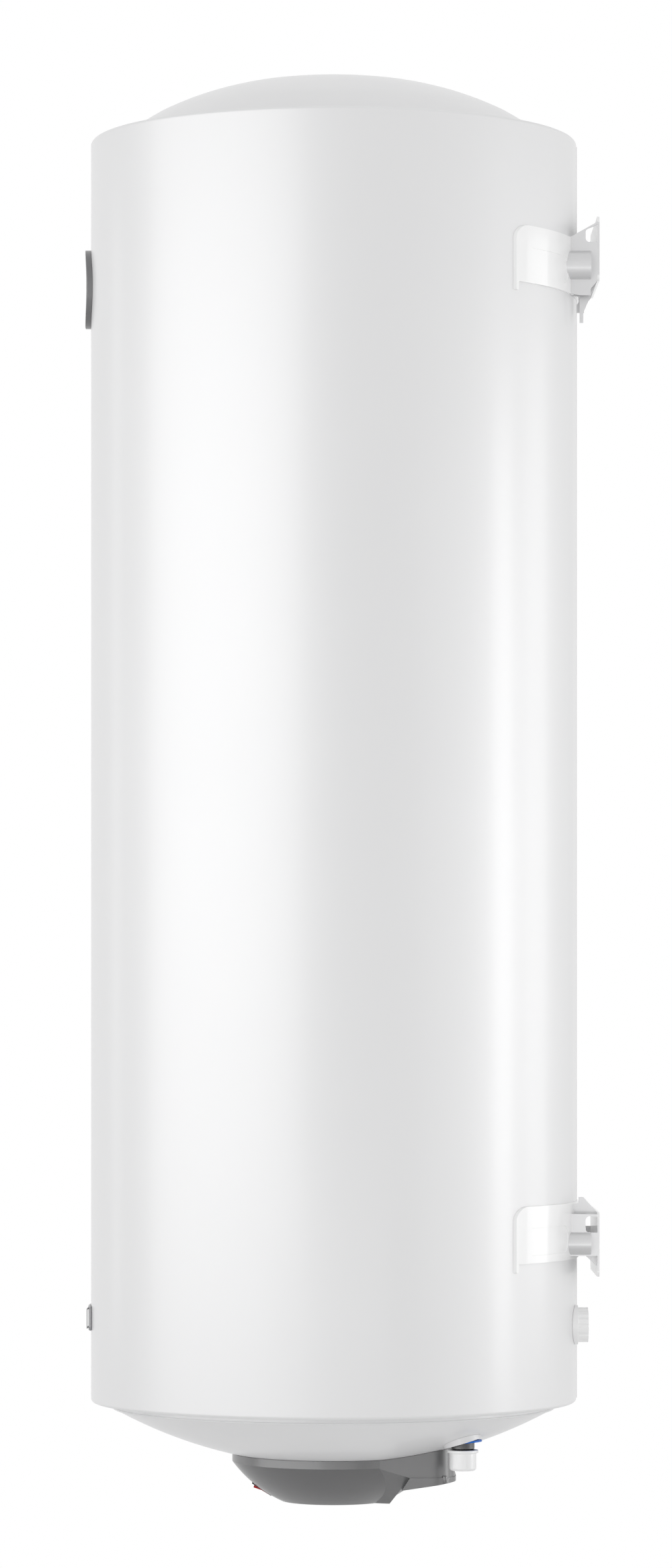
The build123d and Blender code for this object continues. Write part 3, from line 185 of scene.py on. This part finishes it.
# metals
finish("tank_steel", (0.05, 0.08, 0.17), 0.3, spread=0.1, grain=30, bump=0.1, peel=160, coat=0.3)
finish("zinc_steel", (0.6, 0.61, 0.62), 0.32, spread=0.1, grain=140, bump=0.08, peel=700, metallic=1.0)
# painted shade: a grey, half-metallic stand-in for the white bracket paint, for the brackets' webs and bosses
# that lie in shade
finish("bracket_painted_shade", (0.66, 0.66, 0.665), 0.34, spread=0.02, grain=30, bump=0.03, peel=500, wear=0.05,
       metallic=0.5)
finish("element_sheath", (0.42, 0.36, 0.3), 0.4, spread=0.15, grain=80, bump=0.1, peel=500, metallic=1.0)
finish("magnesium", (0.5, 0.5, 0.5), 0.6, spread=0.12, grain=70, bump=0.3, peel=300, metallic=1.0)
finish("dark_pipe", (0.085, 0.085, 0.085), 0.36, spread=0.2, grain=140, bump=0.12, peel=600, metallic=0.5)

# rubber and plastics
finish("black_rubber", (0.03, 0.03, 0.03), 0.7, spread=0.15, grain=90, bump=0.2, peel=600)
finish("black_plastic", (0.022, 0.022, 0.023), 0.42, spread=0.15, grain=90, bump=0.12, peel=800)
finish("dark_plastic", (0.05, 0.05, 0.052), 0.45, spread=0.1, grain=80, bump=0.12, peel=800)
finish("grey_plastic", (0.115, 0.115, 0.117), 0.34, spread=0.02, grain=40, bump=0.01, peel=900, wear=0.02,
       specular=0.8, coat=0.3, coat_rough=0.2)
finish("bezel_plastic", (0.17, 0.17, 0.174), 0.33, spread=0.03, grain=40, bump=0.015, peel=700, wear=0.03,
       coat=0.1)
finish("plate_grey", (0.32, 0.32, 0.33), 0.35, spread=0.04, grain=60, bump=0.05, peel=700, coat=0.1)
finish("ivory_plastic", (0.68, 0.65, 0.56), 0.5, spread=0.05, grain=60, bump=0.06, peel=500)
finish("cap_plastic", (0.95, 0.95, 0.95), 0.35, spread=0.012, grain=40, bump=0.05, peel=600, coat=0.2)
finish("red_plastic", (0.5, 0.0, 0.001), 0.3, spread=0.06, grain=60, bump=0.04, peel=500, specular=0.25)
finish("blue_plastic", (0.0, 0.13, 0.56), 0.4, spread=0.06, grain=60, bump=0.04, peel=500, specular=0.2)

# the gauge, and the print on it and on the switch and the knob
finish("dial_white", (0.84, 0.84, 0.83), 0.6, spread=0.01, grain=60, bump=0.03, peel=600)
finish("needle_red", (0.6, 0.03, 0.02), 0.45, spread=0.05, grain=60, bump=0.03, peel=500)
for name, colour, rough, spread in (
    ("print_black", (0.02, 0.02, 0.022), 0.5, 0.1),
    ("print_white", (0.86, 0.86, 0.86), 0.45, 0.02),
    ("print_blue", (0.02, 0.16, 0.62), 0.45, 0.05),
    ("print_red", (0.66, 0.02, 0.015), 0.45, 0.05),
    ("print_amber", (0.8, 0.36, 0.02), 0.45, 0.05),
):
    finish(name, colour, rough, spread, grain=200, bump=0.02, peel=600)
for name, colour, clearness in (
    ("clear_lens", (0.96, 0.97, 0.98), 1.0),
    ("lamp_lens", (0.9, 0.2, 0.08), 0.6),
):
    lens = finish(name, colour, 0.06, spread=0.004, grain=20, bump=0.01, peel=200, wear=0.02, specular=0.15)
    lens.inputs["Transmission Weight"].default_value = clearness
    lens.inputs["IOR"].default_value = lens_index

# every node wears the finish of its own slot
slots = {part["node"]: part["material_slot"] for part in frame["record"]["subparts"]}
for node, thing in nodes.items():
    thing.material_slots[0].material = looks[slots[node]]


# ---------------------------------------------------------------- mesh helpers
def piece(name, mesh, look, body="heater", crease=35):
    """Turns a bmesh into a piece that rides on a body and is sharp where it bends past the crease angle."""
    bmesh.ops.recalc_face_normals(mesh, faces=mesh.faces)
    data = bpy.data.meshes.new(name)
    mesh.to_mesh(data)
    mesh.free()
    data.materials.append(looks[look])
    data.shade_smooth()
    data.set_sharp_from_angle(angle=math.radians(crease))
    thing = placed(name, data)
    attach(thing, body)
    # the print's finishes are this script's own, and no slot has their names
    return thing


def dressed(node, radius, body="heater", crease=32):
    """A node's own form, welded into one surface and with its hard edges rounded off."""
    mesh = bmesh.new()
    mesh.from_mesh(nodes[node].data)
    bmesh.ops.remove_doubles(mesh, verts=mesh.verts, dist=1e-6)
    bmesh.ops.dissolve_limit(mesh, angle_limit=math.radians(0.6), verts=mesh.verts, edges=mesh.edges)
    thing = piece(f"{node}_dressed", mesh, slots[node], body, crease)
    if radius:
        round_off = thing.modifiers.new("round_off", "BEVEL")
        round_off.width = radius
        round_off.segments = 2
        round_off.limit_method = "ANGLE"
        round_off.angle_limit = math.radians(crease)
        even = thing.modifiers.new("even", "WEIGHTED_NORMAL")
        even.keep_sharp = True
    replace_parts(thing, node)
    return thing


def turned(name, outline, look, centre, steps=256):
    """Revolves a closed outline of (radius, height) pairs about the upright axis through a centre."""
    mesh = bmesh.new()
    across = Vector((1, 1, 0)).normalized()
    upwards = Vector((0, 0, 1))
    corners = [mesh.verts.new(centre + across * reach + upwards * level) for reach, level in outline]
    sides = [mesh.edges.new(pair) for pair in zip(corners, corners[1:] + corners[:1])]
    bmesh.ops.spin(
        mesh, geom=corners + sides, cent=centre, axis=upwards, angle=math.tau, steps=steps, use_merge=True
    )
    bmesh.ops.remove_doubles(mesh, verts=mesh.verts, dist=2e-6)
    return piece(name, mesh, look)


def round_bend(centre, radius, start, end):
    """Points of a round bend about a (radius, height) centre, from one angle to another in degrees."""
    steps = 6
    points = []
    for i in range(steps + 1):
        angle = math.radians(start + (end - start) * i / steps)
        points.append((centre[0] + radius * math.cos(angle), centre[1] + radius * math.sin(angle)))
    return points


def bowed(start, end, bulge):
    """(radius, height) points from start to end along a shallow bow that swells to its left by bulge."""
    steps = 14
    (x0, y0), (x1, y1) = start, end
    along, up = x1 - x0, y1 - y0
    length = math.hypot(along, up)
    points = []
    for i in range(steps + 1):
        t = i / steps
        lift = bulge * 4 * t * (1 - t)
        points.append((x0 + along * t - up / length * lift, y0 + up * t + along / length * lift))
    return points


def rise(edge):
    """How far an edge climbs."""
    return abs(edge.verts[0].co.z - edge.verts[1].co.z)


def rounded(mesh, edges, radius, segments):
    """Rounds off some edges."""
    bmesh.ops.bevel(
        mesh, geom=edges, offset=radius, offset_type="OFFSET", affect="EDGES", segments=segments, profile=0.5,
        material=-1,
    )


def raised_rim(mesh, width, height):
    """Cuts a flat shape down to a rim along its outline, and gives the rim its height."""
    middle = mesh.faces[:]
    bmesh.ops.inset_region(
        mesh, faces=middle, thickness=width, depth=0, use_boundary=True, use_even_offset=True
    )
    bmesh.ops.delete(mesh, geom=middle, context="FACES")
    grown = bmesh.ops.extrude_face_region(mesh, geom=mesh.faces[:])["geom"]
    corners = [part for part in grown if isinstance(part, bmesh.types.BMVert)]
    bmesh.ops.translate(mesh, verts=corners, vec=(0, 0, height))


def bar(mesh, width, length, height, place):
    """Adds a small block whose place is given by a matrix from its own frame."""
    made = bmesh.ops.create_cube(mesh, size=1)["verts"]
    bmesh.ops.scale(mesh, verts=made, vec=(width, length, height))
    bmesh.ops.transform(mesh, matrix=place, verts=made)


# ---------------------------------------------------------------- jacket with its rolled rims
bend_radius = casing_radius - rim_roll
lip = casing_radius - rim_width
rim_head = casing_head + rim_roll
rim_foot = casing_foot - rim_roll
jacket = round_bend((bend_radius, casing_head), rim_roll, 0, 90)
jacket += [(lip, rim_head), (lip, rim_head - sheet)]
jacket += round_bend((bend_radius, casing_head), rim_roll - sheet, 90, 0)
jacket += round_bend((bend_radius, casing_foot), rim_roll - sheet, 0, -90)
jacket += [(lip, rim_foot + sheet), (lip, rim_foot)]
jacket += round_bend((bend_radius, casing_foot), rim_roll, -90, 0)
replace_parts(turned("jacket", jacket, "white_enamel", axis_point), "casing")

# ---------------------------------------------------------------- lap seam down the back of the jacket
seam_width = 0.012
seam_height = 0.0006
seam_root = 0.002
seam_edge = 0.0005
seam_size = (seam_width, seam_height + seam_root, casing_head - casing_foot)
seam_middle = (0, axis_y + casing_radius + (seam_height - seam_root) / 2, (casing_head + casing_foot) / 2)
seam = bmesh.new()
bmesh.ops.create_cube(seam, size=1)
bmesh.ops.scale(seam, verts=seam.verts, vec=seam_size)
bmesh.ops.translate(seam, verts=seam.verts, vec=seam_middle)
rounded(seam, [edge for edge in seam.edges if rise(edge) > sheet], seam_edge, 2)
piece("back_seam", seam, "white_enamel")

# ---------------------------------------------------------------- top dome: crown, bend, knuckle and gutter
top_rise = 0.0618
shoulder_radius = 0.634 * skirt_radius
shoulder_rise = 0.0434
crown_power = 1.8
crown_steps = 14
knuckle_bulge = 0.0027
bend_steps = 10
# the crown and the knuckle stop short of the shoulder, where the bend joins them
crown_kept = 11
knuckle_skipped = 6
skirt_drop = 0.0018
gutter_drop = 0.002
gutter_inner = 0.004
gutter_under = 0.003
lip_wall = 0.0038
lip_rise = 0.0019

crown = []
for i in range(crown_kept):
    share = i / crown_steps
    fall = (top_rise - shoulder_rise) * share**crown_power
    crown.append((shoulder_radius * share, casing_head + top_rise - fall))
shoulder = Vector((shoulder_radius, casing_head + shoulder_rise))
knuckle = bowed(shoulder, (skirt_radius, casing_head - skirt_drop), knuckle_bulge)[knuckle_skipped:]
bend_start, bend_end = Vector(crown[-1]), Vector(knuckle[0])
bend = []
for i in range(1, bend_steps):
    t = i / bend_steps
    bend.append(tuple(bend_start * (1 - t) ** 2 + shoulder * 2 * t * (1 - t) + bend_end * t**2))
dome = crown + bend + knuckle
gutter = casing_head - skirt_drop - gutter_drop
lip_head = casing_head + lip_rise
top = dome + [(skirt_radius + gutter_inner, gutter), (cap_edge - lip_wall, gutter)]
top += [(cap_edge - lip_wall, lip_head), (cap_edge, lip_head), (cap_edge, gutter - cap_wall)]
top += [(skirt_radius + gutter_under, gutter - cap_wall)]
top += [(reach * thinned, level - cap_wall) for reach, level in reversed(dome)]
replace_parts(turned("top_dome_skin", top, "white_plastic", axis_point), "top_cap")

# ---------------------------------------------------------------- bottom dome: bowl, grooved bead and skirt
bottom_depth = 0.0542
bottom_skirt = rim_foot - 0.0038
access_radius = 0.084
bowl_steps = 18
bead_reach = skirt_radius - 0.0018
bead_foot = 0.0022
bead_radius = 0.0014
bead_level = bottom_skirt - 0.0011
groove_width = 0.0006
groove_depth = 0.0004
seat_gap = 0.0001
skirt_wall = 0.002

bowl_radius = (skirt_radius**2 + bottom_depth**2) / (2 * bottom_depth)
bowl_run = bead_reach - bead_foot - access_radius
bowl = []
for i in range(bowl_steps + 1):
    reach = access_radius + bowl_run * i / bowl_steps
    sag = bowl_radius - math.sqrt(bowl_radius**2 - reach**2)
    bowl.append((reach, bottom_skirt - bottom_depth + sag))
bead = round_bend((bead_reach - bead_radius, bead_level), bead_radius, -75, 0)
bead += [(bead_reach, bottom_skirt - groove_width)]
bead += [(bead_reach - groove_depth, bottom_skirt - groove_width / 2), (bead_reach, bottom_skirt)]
seat = rim_foot + sheet + seat_gap
bottom = bowl + bead + [(bead_reach, seat), (cap_edge, seat), (cap_edge, seat + cap_wall)]
bottom += [(bead_reach - skirt_wall, seat + cap_wall)]
bottom += [(reach * thinned, level + cap_wall) for reach, level in reversed(bowl[:-1])]
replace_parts(turned("bottom_dome_skin", bottom, "white_plastic", axis_point), "bottom_cap")

# ---------------------------------------------------------------- foam, sunk clear of the top dome's skin
foam_head = casing_head + 0.002
foam_sink = 0.0018
foam = dressed("insulation", 0.0)
for corner in foam.data.vertices:
    if corner.co.z > foam_head:
        corner.co.z -= foam_sink

# ---------------------------------------------------------------- brackets, with painted shade in grey between saddle and plate
saddle_reach = casing_radius + 0.0037
plate_front = -0.0045
for node in ("upper_bracket", "lower_bracket"):
    bracket = dressed(node, 0.0006, crease=25)
    bracket.data.materials.append(looks["bracket_painted_shade"])
    corners = bracket.data.vertices
    for face in bracket.data.polygons:
        reach = max((corners[i].co.to_2d() - axis_point.to_2d()).length for i in face.vertices)
        front = min(corners[i].co.y for i in face.vertices)
        # faces standing off the casing, in front of the wall plate, take the painted shade
        if reach > saddle_reach and front < plate_front:
            face.material_index = 1

# ---------------------------------------------------------------- small parts, their hard edges rounded off
dressed("foam_plug", 0.0005)
dressed("thermometer_bezel", 0.0013)
dressed("front_plate", 0.0008)
dressed("control_cover", 0.0005, crease=22)
dressed("thermostat_knob", 0.0003, "knob")
dressed("switch_frame", 0.0003)
dressed("power_rocker", 0.0003, "rocker")
dressed("indicator_lamp", 0.0)
dressed("cable_grommet", 0.0003)
dressed("cover_screws", 0.0001)
for side in ("cold", "hot"):
    dressed(f"{side}_collar", 0.0006)
    dressed(f"{side}_marker", 0.0002)
dressed("inlet_cap", 0.0004, "cold_cap")
dressed("outlet_cap", 0.0004, "hot_cap")

# ---------------------------------------------------------------- scale printed on the gauge's dial
dial_step = 0.0009
gauge_y = axis_y - casing_radius
gauge_level = (lens_low.z + lens_high.z) / 2
gauge_centre = Vector((0, gauge_y - dial_step, gauge_level))
stand_up = Matrix.Rotation(math.radians(90), 4, "X")
on_dial = Matrix.Translation(gauge_centre) @ stand_up
print_height = 0.00012
scale_start = 135
scale_sweep = 270
scale_values = (0, 20, 40, 60, 80)
tick_reach = 0.0262
tick_steps = 32
tick_width = 0.0004
tick_length = 0.0017
middle_every = 4
middle_length = 0.003
long_every = 8
long_width = 0.0007
long_length = 0.0042
figure_reach = 0.0182
figure_size = 0.0052
unit_size = 0.0046
unit_level = -0.0155
arc_inner = 0.0268
arc_outer = 0.0282
arc_steps = 36


def word(mesh, text, size, place):
    """Adds raised figures in the plain built-in font, placed by a matrix."""
    letters = bpy.data.curves.new("figures", "FONT")
    letters.body = text
    letters.size = size
    letters.extrude = print_height / 2
    letters.resolution_u = 3
    letters.align_x = "CENTER"
    letters.align_y = "CENTER"
    holder = placed("figures", letters)
    flat = bpy.data.meshes.new_from_object(holder.evaluated_get(bpy.context.evaluated_depsgraph_get()))
    bpy.data.objects.remove(holder)
    bpy.data.curves.remove(letters)
    fresh = bmesh.new()
    fresh.from_mesh(flat)
    bmesh.ops.remove_doubles(fresh, verts=fresh.verts, dist=1e-7)
    bmesh.ops.transform(fresh, matrix=place, verts=fresh.verts)
    fresh.to_mesh(flat)
    fresh.free()
    mesh.from_mesh(flat)
    bpy.data.meshes.remove(flat)


def arc_strip(mesh, start, end):
    """Adds a flat strip bent round the dial's centre, from one angle to another, with closed ends."""
    facing = Vector((0, -1, 0))
    first = Matrix.Rotation(math.radians(start), 3, facing) @ Vector((0, 0, 1))
    section = ((arc_inner, 0), (arc_outer, 0), (arc_outer, print_height), (arc_inner, print_height))
    corners = [mesh.verts.new(gauge_centre + first * reach + facing * lift) for reach, lift in section]
    face = mesh.faces.new(corners)
    # the spin carries the face to the strip's far end, and its copy closes the near end
    bmesh.ops.duplicate(mesh, geom=[face])
    bmesh.ops.spin(
        mesh, geom=[face, *corners, *face.edges], cent=gauge_centre, axis=facing,
        angle=math.radians(end - start), steps=arc_steps,
    )
    bmesh.ops.remove_doubles(mesh, verts=mesh.verts, dist=2e-7)


ticks = bmesh.new()
for i in range(tick_steps + 1):
    angle = math.radians(scale_start - scale_sweep * i / tick_steps)
    width, length = tick_width, tick_length
    if i % long_every == 0:
        width, length = long_width, long_length
    elif i % middle_every == 0:
        length = middle_length
    turn = Matrix.Rotation(angle, 4, "Z") @ Matrix.Translation((0, tick_reach - length / 2, print_height / 2))
    bar(ticks, width, length, print_height, on_dial @ turn)
piece("gauge_ticks", ticks, "print_black")

figures = bmesh.new()
for i, value in enumerate(scale_values):
    angle = math.radians(scale_start - scale_sweep * i / (len(scale_values) - 1))
    spot = (-math.sin(angle) * figure_reach, math.cos(angle) * figure_reach, print_height / 2)
    word(figures, str(value), figure_size, on_dial @ Matrix.Translation(spot))
word(figures, "°C", unit_size, on_dial @ Matrix.Translation((0, unit_level, print_height / 2)))
piece("gauge_figures", figures, "print_black")

for name, look, start, end in (
    ("gauge_cold_arc", "print_blue", 135, 34),
    ("gauge_warm_arc", "print_amber", 33, -66),
    ("gauge_hot_arc", "print_red", -67, -135),
):
    arc = bmesh.new()
    arc_strip(arc, start, end)
    piece(name, arc, look)

# ---------------------------------------------------------------- tapered pointer of the gauge
pointer_step = 0.0015
pointer_reach = 0.022
pointer_tail = 0.009
pointer_width = 0.0019
pointer_thickness = 0.0005
tip_share = 0.22
hub_radius = 0.0032
tail_radius = 0.0021
tail_step = 0.0006
disc_share = 1.02
pointer = bmesh.new()
blade = bmesh.ops.create_cube(pointer, size=1)["verts"]
bmesh.ops.scale(pointer, verts=blade, vec=(pointer_width, pointer_thickness, pointer_reach + pointer_tail))
bmesh.ops.translate(pointer, verts=blade, vec=(0, 0, (pointer_reach - pointer_tail) / 2))
bmesh.ops.scale(pointer, verts=[corner for corner in blade if corner.co.z > 0], vec=(tip_share, 1, 1))
disc_thickness = pointer_thickness * disc_share
for level, radius in ((0, hub_radius), (tail_step - pointer_tail, tail_radius)):
    disc = bmesh.ops.create_cone(
        pointer, cap_ends=True, segments=40, radius1=radius, radius2=radius, depth=disc_thickness
    )["verts"]
    bmesh.ops.rotate(pointer, verts=disc, cent=(0, 0, 0), matrix=stand_up.to_3x3())
    bmesh.ops.translate(pointer, verts=disc, vec=(0, 0, level))
bmesh.ops.translate(pointer, verts=pointer.verts, vec=(0, gauge_y - pointer_step, gauge_level))
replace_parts(piece("gauge_pointer", pointer, "needle_red", "needle"), "thermometer_needle")

# ---------------------------------------------------------------- raised border of the bare front plate
border_width = 0.056
border_height = 0.0182
border_line = 0.0011
border_rise = 0.0006
border_sink = 0.0002
plate_face = Vector((0, plate_low.y + border_sink, (plate_low.z + plate_high.z) / 2))
border = bmesh.new()
bmesh.ops.create_grid(border, x_segments=1, y_segments=1, size=0.5)
bmesh.ops.scale(border, verts=border.verts, vec=(border_width, border_height, 1))
raised_rim(border, border_line, border_rise)
bmesh.ops.transform(border, matrix=Matrix.Translation(plate_face) @ stand_up, verts=border.verts)
piece("plate_border", border, "bezel_plastic")

# ---------------------------------------------------------------- ring and line on the rocker's two flats
rocker_base = Vector((0, (rocker_low.y + rocker_high.y) / 2, rocker_low.z))
mark_lift = 0.00006
ring_radius = 0.002
ring_line = 0.0006
ring_height = 0.00015
line_width = 0.0007
line_length = 0.0042
line_height = 0.0003
# each flat's middle, from the rocker's base, and the way it faces
off_flat = (Vector((0, -0.004043, 0.005409)), Vector((0, -0.32, -0.947)))
on_flat = (Vector((0, 0.003117, 0.002069)), Vector((0, -0.52, -0.854)))


def on_rocker(middle, facing):
    """Matrix that lays a mark on one of the rocker's flats, just proud of it."""
    normal = facing.normalized()
    up = Vector((0, -normal.z, normal.y))
    turn = Matrix((up.cross(normal), up, normal)).transposed().to_4x4()
    return Matrix.Translation(rocker_base + middle + normal * mark_lift) @ turn


rocker_marks = bmesh.new()
bmesh.ops.create_circle(rocker_marks, cap_ends=True, segments=40, radius=ring_radius)
raised_rim(rocker_marks, ring_line, ring_height)
bmesh.ops.transform(rocker_marks, matrix=on_rocker(*off_flat), verts=rocker_marks.verts)
bar(rocker_marks, line_width, line_length, line_height, on_rocker(*on_flat))
piece("rocker_marks", rocker_marks, "print_white", "rocker")

# ---------------------------------------------------------------- growing dots round the knob's underside
dot_count = 11
dot_start = -135
dot_turn = 27
dot_reach = 0.0155
dot_radius = 0.0003
dot_growth = 0.00005
dot_height = 0.0002
dot_sink = 0.00002
knob_dots = bmesh.new()
for i in range(dot_count):
    angle = math.radians(dot_start + dot_turn * i)
    radius = dot_radius + dot_growth * i
    dot = bmesh.ops.create_cone(
        knob_dots, cap_ends=True, segments=20, radius1=radius, radius2=radius, depth=dot_height
    )["verts"]
    spot = (dot_reach * math.sin(angle), axis_y - dot_reach * math.cos(angle), knob_low.z - dot_sink)
    bmesh.ops.translate(knob_dots, verts=dot, vec=spot)
piece("knob_dots", knob_dots, "print_white", "knob")

# ---------------------------------------------------------------- clip on the cover's ledge
clip_radius = 0.0021
clip_length = 0.0066
clip_edge = 0.0005
clip_spot = (cover_high.x - 0.0137, cover_high.y - 0.0106, cover_low.z + 0.0263)
clip = bmesh.new()
bmesh.ops.create_cone(
    clip, cap_ends=True, segments=32, radius1=clip_radius, radius2=clip_radius, depth=clip_length
)
bmesh.ops.translate(clip, verts=clip.verts, vec=clip_spot)
rounded(clip, [edge for edge in clip.edges if rise(edge) < 1e-6], clip_edge, 3)
piece("ledge_clip", clip, "grey_plastic")

# ---------------------------------------------------------------- pipe ends, each with its helical thread
bore_radius = 0.0075
thread_pitch = 0.001814
thread_depth = 0.00116
thread_turns = 8
thread_start = 0.0006
turn_steps = 48
root_sink = 0.0002
crest_sink = 0.0001
crest_start = 0.4
crest_end = 0.56
ridge_end = 0.96
mouth_chamfer = 0.0004
shank_start = 0.0165
shank_slope = 0.0012


def pipe_tube(side, low, high, centre, major):
    """Turned pipe: bored through, reduced to the thread's root at its mouth, full width above."""
    minor = major - thread_depth
    shank = low.z + shank_start
    tube = [(bore_radius, low.z), (minor - mouth_chamfer, low.z), (minor, low.z + mouth_chamfer)]
    tube += [(minor, shank), (major, shank + shank_slope), (major, high.z), (bore_radius, high.z)]
    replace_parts(turned(f"{side}_tube", tube, "dark_pipe", centre, steps=64), f"{side}_pipe")


def pipe_thread(side, low, centre, major):
    """Ridge that winds up the pipe's end, one pitch a turn, closed at both ends."""
    root = major - thread_depth - root_sink
    crest = major - crest_sink
    ridge = ((root, 0), (crest, crest_start), (crest, crest_end), (root, ridge_end))
    start = low.z + thread_start
    thread = bmesh.new()
    corners = []
    for reach, share in ridge:
        corners.append(thread.verts.new(centre + Vector((reach, 0, start + thread_pitch * share))))
    sides = [thread.edges.new(pair) for pair in zip(corners, corners[1:] + corners[:1])]
    bmesh.ops.spin(
        thread, geom=corners + sides, cent=centre, axis=(0, 0, 1), angle=math.tau * thread_turns,
        steps=turn_steps * thread_turns, dvec=(0, 0, thread_pitch / turn_steps),
    )
    bmesh.ops.holes_fill(thread, edges=[edge for edge in thread.edges if edge.is_boundary], sides=0)
    piece(f"{side}_thread", thread, "dark_pipe")


for side in ("cold", "hot"):
    pipe_low, pipe_high = (Vector(corner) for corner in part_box(f"{side}_pipe"))
    pipe_centre = Vector(((pipe_low.x + pipe_high.x) / 2, (pipe_low.y + pipe_high.y) / 2, 0))
    pipe_radius = (pipe_high.x - pipe_low.x) / 2
    pipe_tube(side, pipe_low, pipe_high, pipe_centre, pipe_radius)
    pipe_thread(side, pipe_low, pipe_centre, pipe_radius)


# ---------------------------------------------------------------- floor, faded out and clear from below
def larger(tree, first, second):
    """The larger of two values."""
    node = tree.nodes.new("ShaderNodeMath")
    node.operation = "MAXIMUM"
    tree.links.new(first, node.inputs[0])
    tree.links.new(second, node.inputs[1])
    return node.outputs[0]


floor_radius = 1.5
floor_drop = 0.35
fade_start = 0.7
fade_end = 1.45
floor_mesh = bmesh.new()
bmesh.ops.create_circle(floor_mesh, cap_ends=True, segments=96, radius=floor_radius)
floor_data = bpy.data.meshes.new("floor")
floor_mesh.to_mesh(floor_data)
floor_mesh.free()
floor = placed("floor", floor_data)
floor.location = (0, axis_y, cad_low[2] - floor_drop)
floor_look = bpy.data.materials.new("floor_look")
floor_look.use_nodes = True
floor_tree = floor_look.node_tree
floor_shader = floor_tree.nodes["Principled BSDF"]
floor_shader.inputs["Base Color"].default_value = (0.92, 0.92, 0.92, 1)
floor_shader.inputs["Roughness"].default_value = 0.9
floor_shader.inputs["Specular IOR Level"].default_value = 0.1
floor_place = floor_tree.nodes.new("ShaderNodeTexCoord")
from_middle = floor_tree.nodes.new("ShaderNodeVectorMath")
from_middle.operation = "LENGTH"
floor_tree.links.new(floor_place.outputs["Object"], from_middle.inputs[0])
fade = floor_tree.nodes.new("ShaderNodeMapRange")
fade.interpolation_type = "SMOOTHSTEP"
fade.inputs["From Min"].default_value = fade_start
fade.inputs["From Max"].default_value = fade_end
floor_tree.links.new(from_middle.outputs["Value"], fade.inputs["Value"])
side_seen = floor_tree.nodes.new("ShaderNodeNewGeometry")
hidden = larger(floor_tree, fade.outputs["Result"], side_seen.outputs["Backfacing"])
clear = floor_tree.nodes.new("ShaderNodeBsdfTransparent")
floor_mix = floor_tree.nodes.new("ShaderNodeMixShader")
floor_tree.links.new(hidden, floor_mix.inputs["Fac"])
floor_tree.links.new(floor_shader.outputs["BSDF"], floor_mix.inputs[1])
floor_tree.links.new(clear.outputs["BSDF"], floor_mix.inputs[2])
floor_tree.links.new(floor_mix.outputs["Shader"], floor_tree.nodes["Material Output"].inputs["Surface"])
floor_data.materials.append(floor_look)

# ---------------------------------------------------------------- world, white to look at and softer as light
sky_level = 0.79
sky_lean = 0.06
world = bpy.data.worlds.new("world")
bpy.context.scene.world = world
world.use_nodes = True
sky = world.node_tree
sky.nodes.clear()
seen = sky.nodes.new("ShaderNodeBackground")
seen.inputs["Color"].default_value = (1, 1, 1, 1)
seen.inputs["Strength"].default_value = 1.0
lit = sky.nodes.new("ShaderNodeBackground")
lit.inputs["Color"].default_value = (1, 1, 1, 1)
way = sky.nodes.new("ShaderNodeTexCoord")
parts = sky.nodes.new("ShaderNodeSeparateXYZ")
sky.links.new(way.outputs["Generated"], parts.inputs["Vector"])
lean = sky.nodes.new("ShaderNodeMath")
lean.operation = "MULTIPLY_ADD"
lean.inputs[1].default_value = sky_lean
lean.inputs[2].default_value = sky_level
sky.links.new(parts.outputs["X"], lean.inputs[0])
sky.links.new(lean.outputs[0], lit.inputs["Strength"])
path = sky.nodes.new("ShaderNodeLightPath")
camera_or_gloss = larger(sky, path.outputs["Is Camera Ray"], path.outputs["Is Glossy Ray"])
seen_ray = larger(sky, camera_or_gloss, path.outputs["Is Transmission Ray"])
choose = sky.nodes.new("ShaderNodeMixShader")
out = sky.nodes.new("ShaderNodeOutputWorld")
sky.links.new(seen_ray, choose.inputs["Fac"])
sky.links.new(lit.outputs[0], choose.inputs[1])
sky.links.new(seen.outputs[0], choose.inputs[2])
sky.links.new(choose.outputs[0], out.inputs["Surface"])

# ---------------------------------------------------------------- lamps, which show only as highlights
lamp_distance = 3.0


def lamp(name, bearing, low, high, width, glow):
    """Upright area lamp that faces the heater's axis; bearing is degrees from +X towards -Y."""
    data = bpy.data.lights.new(name, "AREA")
    data.shape = "RECTANGLE"
    data.size = width
    data.size_y = high - low
    data.energy = glow * math.pi * width * (high - low)
    thing = placed(name, data)
    thing.visible_camera = False
    thing.visible_diffuse = False
    thing.visible_transmission = False
    angle = math.radians(bearing)
    away = Vector((math.cos(angle), -math.sin(angle), 0))
    thing.location = axis_point + away * lamp_distance + Vector((0, 0, (low + high) / 2))
    thing.rotation_euler = away.to_track_quat("Z", "Y").to_euler()


lamp("soft_box", 54, low=-1.55, high=1.2, width=5.0, glow=2.9)
lamp("rear_fill", -64, low=-1.5, high=0.4, width=2.6, glow=0.8)
lamp("rear_strip", -84, low=-1.5, high=0.3, width=0.6, glow=6)
lamp("back_strip", -108, low=-1.32, high=0.4, width=0.9, glow=3)
lamp("front_strip", 121, low=-1.32, high=0.6, width=0.45, glow=1.4)
lamp("low_card", -4, low=-1.5, high=-1.31, width=2.4, glow=3.4)
